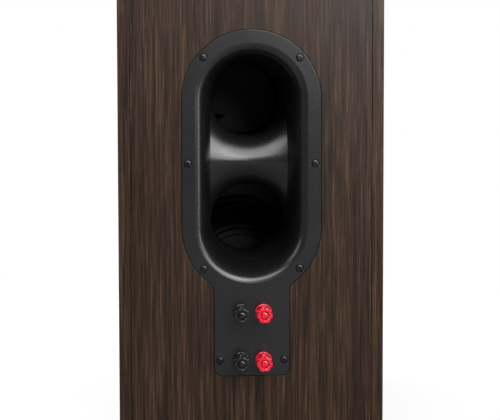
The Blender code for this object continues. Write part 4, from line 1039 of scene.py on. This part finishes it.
radii = [NECK + CONE_RUN - CONE_RUN * step / CONE_STEPS for step in range(CONE_STEPS + 1)]
cone_front = [(58, 2.7), *((radius, cone_depth(radius)) for radius in radii)]
cone_profile = cone_front + [(radius, y + PAPER) for radius, y in cone_front[::-1]]
dome_line = [(CAP_RADIUS * step / CAP_STEPS, CAP_EDGE_Y - CAP_RISE * (1 - (step / CAP_STEPS) ** 2))
             for step in range(CAP_STEPS + 1)]
cap_profile = dome_line + [(22, CAP_EDGE_Y)]
cap_profile += [(23 * radius / 24, y + 1) for radius, y in dome_line[-3::-1]]
coil_profile = [(16, 23.5), (17.2, 23.5), (17.2, 57.5), (16, 57.5)]
for name, node, profile, finish_used, ring in (
    ("cone_pressed", "woofer_cone", cone_profile, cone_fibre, True),
    ("dust_cap_domed", "woofer_dust_cap", cap_profile, cone_fibre, False),
    ("voice_coil_wound", "woofer_voice_coil", coil_profile, copper_turns, True),
):
    fit(turned(name, from_baffle(profile), WOOFER, ring=ring, angle=40), node, finish_used)

# %% [markdown]
# Trim ring, magnet, and the two steel plates that carry its flux. A softened edge is drawn into each
# profile, which costs nothing on a turned piece.

# %% Trim ring and magnet
def rounded_ring(inner, outer, y_from, y_to, edge):
    """The section of a ring with its four corners cut."""
    return [(inner, y_from + edge), (inner + edge, y_from), (outer - edge, y_from),
            (outer, y_from + edge), (outer, y_to - edge), (outer - edge, y_to),
            (inner + edge, y_to), (inner, y_to - edge)]


TRIM = [(69.6, -2.0), (70.1, -2.5), (86.8, -2.5), (87.5, -2.2), (88, -1.5), (88, -0.3),
        (81.7, -0.3), (81.7, 1.1), (69.6, 1.1)]
YOKE = [(0, 45.3), (14.4, 45.3), (14.8, 45.7), (14.8, 66.9), (39.5, 66.9), (40, 67.4), (40, 72.2),
        (39.3, 72.9), (0, 72.9)]
# The top plate and the yoke take the dark zinc colour, painted shade for what is seen through the ports.
for name, node, profile, finish_used, ring in (
    ("trim_ring_moulded", "woofer_trim_ring", TRIM, trim_plastic, True),
    ("top_plate_turned", "woofer_top_plate", rounded_ring(18.4, 42, 45.3, 51.3, 0.5), zinc, True),
    ("magnet_ground", "woofer_magnet", rounded_ring(25, 45, 51.6, 66.6, 0.9), ferrite, True),
    ("yoke_turned", "woofer_yoke", YOKE, zinc, False),
):
    fit(turned(name, from_baffle(profile), WOOFER, ring=ring, angle=25), node, finish_used)

# %% [markdown]
# ## The tweeter
#
# A short horn guides the sound of a soft dome. The horn's wall is a quarter of an ellipse again, and
# it meets the flat flange without an edge. The dome's weave has a coating that gives it a dull shine.

# %% Tweeter
horn = [(17 + 40 * (1 - math.sin(turn)), 18.5 - 20 * math.cos(turn)) for turn in
        (math.pi / 2 * step / 20 for step in range(21))]
behind = [(radius + 3, y + 3) for radius, y in horn[5:16]]
GUIDE = [*horn, (17, 21.5), (34, 21.5), (34, 18.5), (behind[-1][0], 18.5), *behind[::-1],
         (50, 2), (64, 2), (64, -1.1), (63.6, -1.5)]
dome_curve = [(12.5 * step / 12, 20.4 - 5 * (1 - (step / 12) ** 2)) for step in range(13)]
roll = [(12.9, 20.3), (13.6, 19.9), (14.6, 19.8), (15.6, 20.0), (16.2, 20.4), (16.6, 20.4),
        (16.6, 21.2), (12.5, 21.2)]
inside = [(11.7 * radius / 12.5, y + 0.8) for radius, y in dome_curve[-2::-1]]
DOME_SECTION = [*dome_curve, *roll, (12.5, 25.2), (11.7, 25.2), (11.7, 21.2), *inside]
MOTOR = [(0, 21.8), (11.1, 21.8), (11.1, 26.4), (13.1, 26.4), (13.1, 21.8), (35.3, 21.8),
         (36, 22.5), (36, 51.1), (35.3, 51.8), (0, 51.8)]
for name, node, profile, finish_used, ring in (
    ("waveguide_moulded", "tweeter_waveguide", GUIDE, trim_plastic, True),
    ("dome_formed", "tweeter_dome", DOME_SECTION, dome_cloth, False),
    ("motor_turned", "tweeter_motor", MOTOR, motor_black, False),
):
    fit(turned(name, from_baffle(profile), TWEETER, ring=ring, angle=35), node, finish_used)

# %% [markdown]
# ## Inside
#
# The crossover board hangs on the posts' tails, with its choke and two leads to the drivers. The
# board's copy gets a tiny bevel, the choke is turned like a bobbin, and the leads keep their shape.

# %% Crossover and leads
fit(refined("crossover_board", 0.15 * MM, 1), "crossover_board", circuit_green)
low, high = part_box("crossover_choke")
CORE, CHEEK, CHAMFER = 8 * MM, 2 * MM, 0.3 * MM
rim = (high.x - low.x) / 2
winding = rim - CHEEK
bobbin = [(CORE, high.y), (rim - CHAMFER, high.y), (rim, high.y - CHAMFER), (rim, high.y - CHEEK),
          (winding, high.y - CHEEK), (winding, low.y + CHEEK), (rim, low.y + CHEEK),
          (rim, low.y + CHAMFER), (rim - CHAMFER, low.y), (CORE, low.y)]
choke_at = (low.x + high.x) / 2, (low.z + high.z) / 2
fit(turned("choke_bobbin", bobbin, choke_at, 64), "crossover_choke", copper_turns)
# The leads take the near-black colour, painted shade for what is seen through the ports.
paint(insulation, "woofer_lead", "tweeter_lead")

# %% [markdown]
# ## The studio
#
# The floor and what stands behind the object look plain white to the camera and through clear
# pieces. A reflection shows a small share of that white, because dark polished surfaces turn grey
# in a room that is white all round. To every other ray the floor is a matt grey and the world a
# faint fill. Near the object the floor keeps half of its own shading, so the shadow stays.

# %% Floor
GLOSSY_SHARE = 0.06  # how much of the white a reflection shows
NEAR, FAR = 0.2, 0.9  # metres from the middle, between which the floor's own shading fades
NEAR_SHARE, NEAR_GLOW = 0.5, 1.75


def seen_white(wiring):
    """How much of the white a ray sees: all, a small share, or none."""
    rays = {name: wiring.node("ShaderNodeLightPath", {}, {}, f"Is {name} Ray")
            for name in ("Camera", "Glossy", "Transmission")}
    return rays["Camera"] + rays["Glossy"] * GLOSSY_SHARE + rays["Transmission"]


clear_bench()
bpy.ops.mesh.primitive_plane_add(size=14)
floor = finish("floor")
studio = Finish("pale floor")
floor.data.materials.append(studio.material)
studio.set("Base Color", studio.mix(studio.noise(3, 3), (0.17, 0.17, 0.17), (0.19, 0.19, 0.19)))
studio.set("Roughness", 0.85 + studio.noise(40, 2) * 0.15)
length = studio.node("ShaderNodeVectorMath", {"operation": "LENGTH"}, {0: studio.place}, "Value")
distant = studio.step(length, NEAR, FAR)
glow = {"Color": (1, 1, 1, 1), "Strength": NEAR_GLOW - distant * (NEAR_GLOW - 1)}
white = studio.node("ShaderNodeEmission", {}, glow, "Emission")
share = seen_white(studio) * (NEAR_SHARE + distant * (1 - NEAR_SHARE))
matt = Value(studio, studio.skin.outputs["BSDF"])
mixed = studio.node("ShaderNodeMixShader", {}, {0: share, 1: matt, 2: white}, "Shader")
studio.tree.links.new(mixed.socket, studio.tree.nodes["Material Output"].inputs["Surface"])
print("floor of", floor.dimensions.x, "metres")

# %% [markdown]
# The world does the same for rays that miss the floor: full white to the camera, and between that
# and a faint fill for the others.

# %% World
FILL = 0.10  # light of the world on the object

world = bpy.data.worlds.new("studio")
bpy.context.scene.world = world
world.use_nodes = True
sky = Wiring(world.node_tree)
background = sky.tree.nodes["Background"]
background.inputs["Color"].default_value = (1, 1, 1, 1)
strength = seen_white(sky) * (1 - FILL) + FILL
sky.tree.links.new(strength.socket, background.inputs["Strength"])
print("world nodes:", len(sky.tree.nodes))

# %% [markdown]
# The key is a large soft box, high and to the right of the camera. Its lower edge is just above what
# the flat back mirrors to the camera, so the back only brightens towards the top right, while the
# saddle and the lower lip of the mouth, which lean upwards, shine. A second box hangs higher, over
# the camera, and adds to both. An upright strip further right draws a line of light down the left
# lip, and a weak lamp on the left lights the cabinet's side.
#
# Two more lamps light the front. The stronger one is high, so that the top of the cabinet doesn't
# mirror it to someone who looks from a little above.

# %% Lamps
BACK_CENTRE, FRONT_CENTRE = (0, 0.13, 0.24), (0, -0.15, 0.20)


def lamp(name, aim, turn, rise, distance, size, power):
    """A soft box seen from aim at turn degrees from +Y towards +X, and rise degrees up."""
    turn, rise = math.radians(turn), math.radians(rise)
    flat = math.cos(rise)
    way = Vector((math.sin(turn) * flat, math.cos(turn) * flat, math.sin(rise)))
    data = bpy.data.lights.new(name, "AREA")
    data.shape, data.energy = "RECTANGLE", power
    data.size, data.size_y = size
    box = bpy.data.objects.new(name, data)
    box.location = Vector(aim) + distance * way
    box.rotation_euler = (-way).to_track_quat("-Z", "Y").to_euler()
    bpy.context.scene.collection.objects.link(box)


lamp("key", BACK_CENTRE, -25, 26, 1.5, (1.0, 1.0), 19)
lamp("top", BACK_CENTRE, 4, 50, 1.5, (1.5, 0.8), 19)
lamp("strip", BACK_CENTRE, -58, 2, 1.6, (0.35, 1.3), 7)
lamp("side", BACK_CENTRE, 80, 25, 1.8, (0.9, 0.9), 6)
lamp("front", FRONT_CENTRE, 152, 58, 1.8, (1.2, 0.8), 34)
lamp("front side", FRONT_CENTRE, 215, 10, 1.8, (0.5, 1.2), 7)
print(len(bpy.data.lights), "lamps")

# %% [markdown]
# The camera stands a little to the left of the back's centre line and looks slightly down. A long
# lens keeps the cabinet's edges nearly parallel. A small shift slides the picture without turning
# the camera.

# %% Camera and exposure
FRAME_WIDTH, LENS_IN_FRAMES, SHIFT = 36.0, 1370 / 500, -0.08
EYE, TILT_DOWN, TURNED = (0.063, 1.288, 0.300), 3.43, 4.72
view = bpy.data.cameras.new("camera")
view.sensor_width, view.lens = FRAME_WIDTH, LENS_IN_FRAMES * FRAME_WIDTH
view.shift_x = view.shift_y = SHIFT
camera = bpy.data.objects.new("camera", view)
camera.location = EYE
camera.rotation_euler = (math.radians(90 - TILT_DOWN), 0, math.radians(180 - TURNED))
bpy.context.scene.collection.objects.link(camera)
bpy.context.scene.camera = camera
bpy.context.scene.view_settings.view_transform = "Standard"
print("lens of", round(view.lens, 1), "mm")
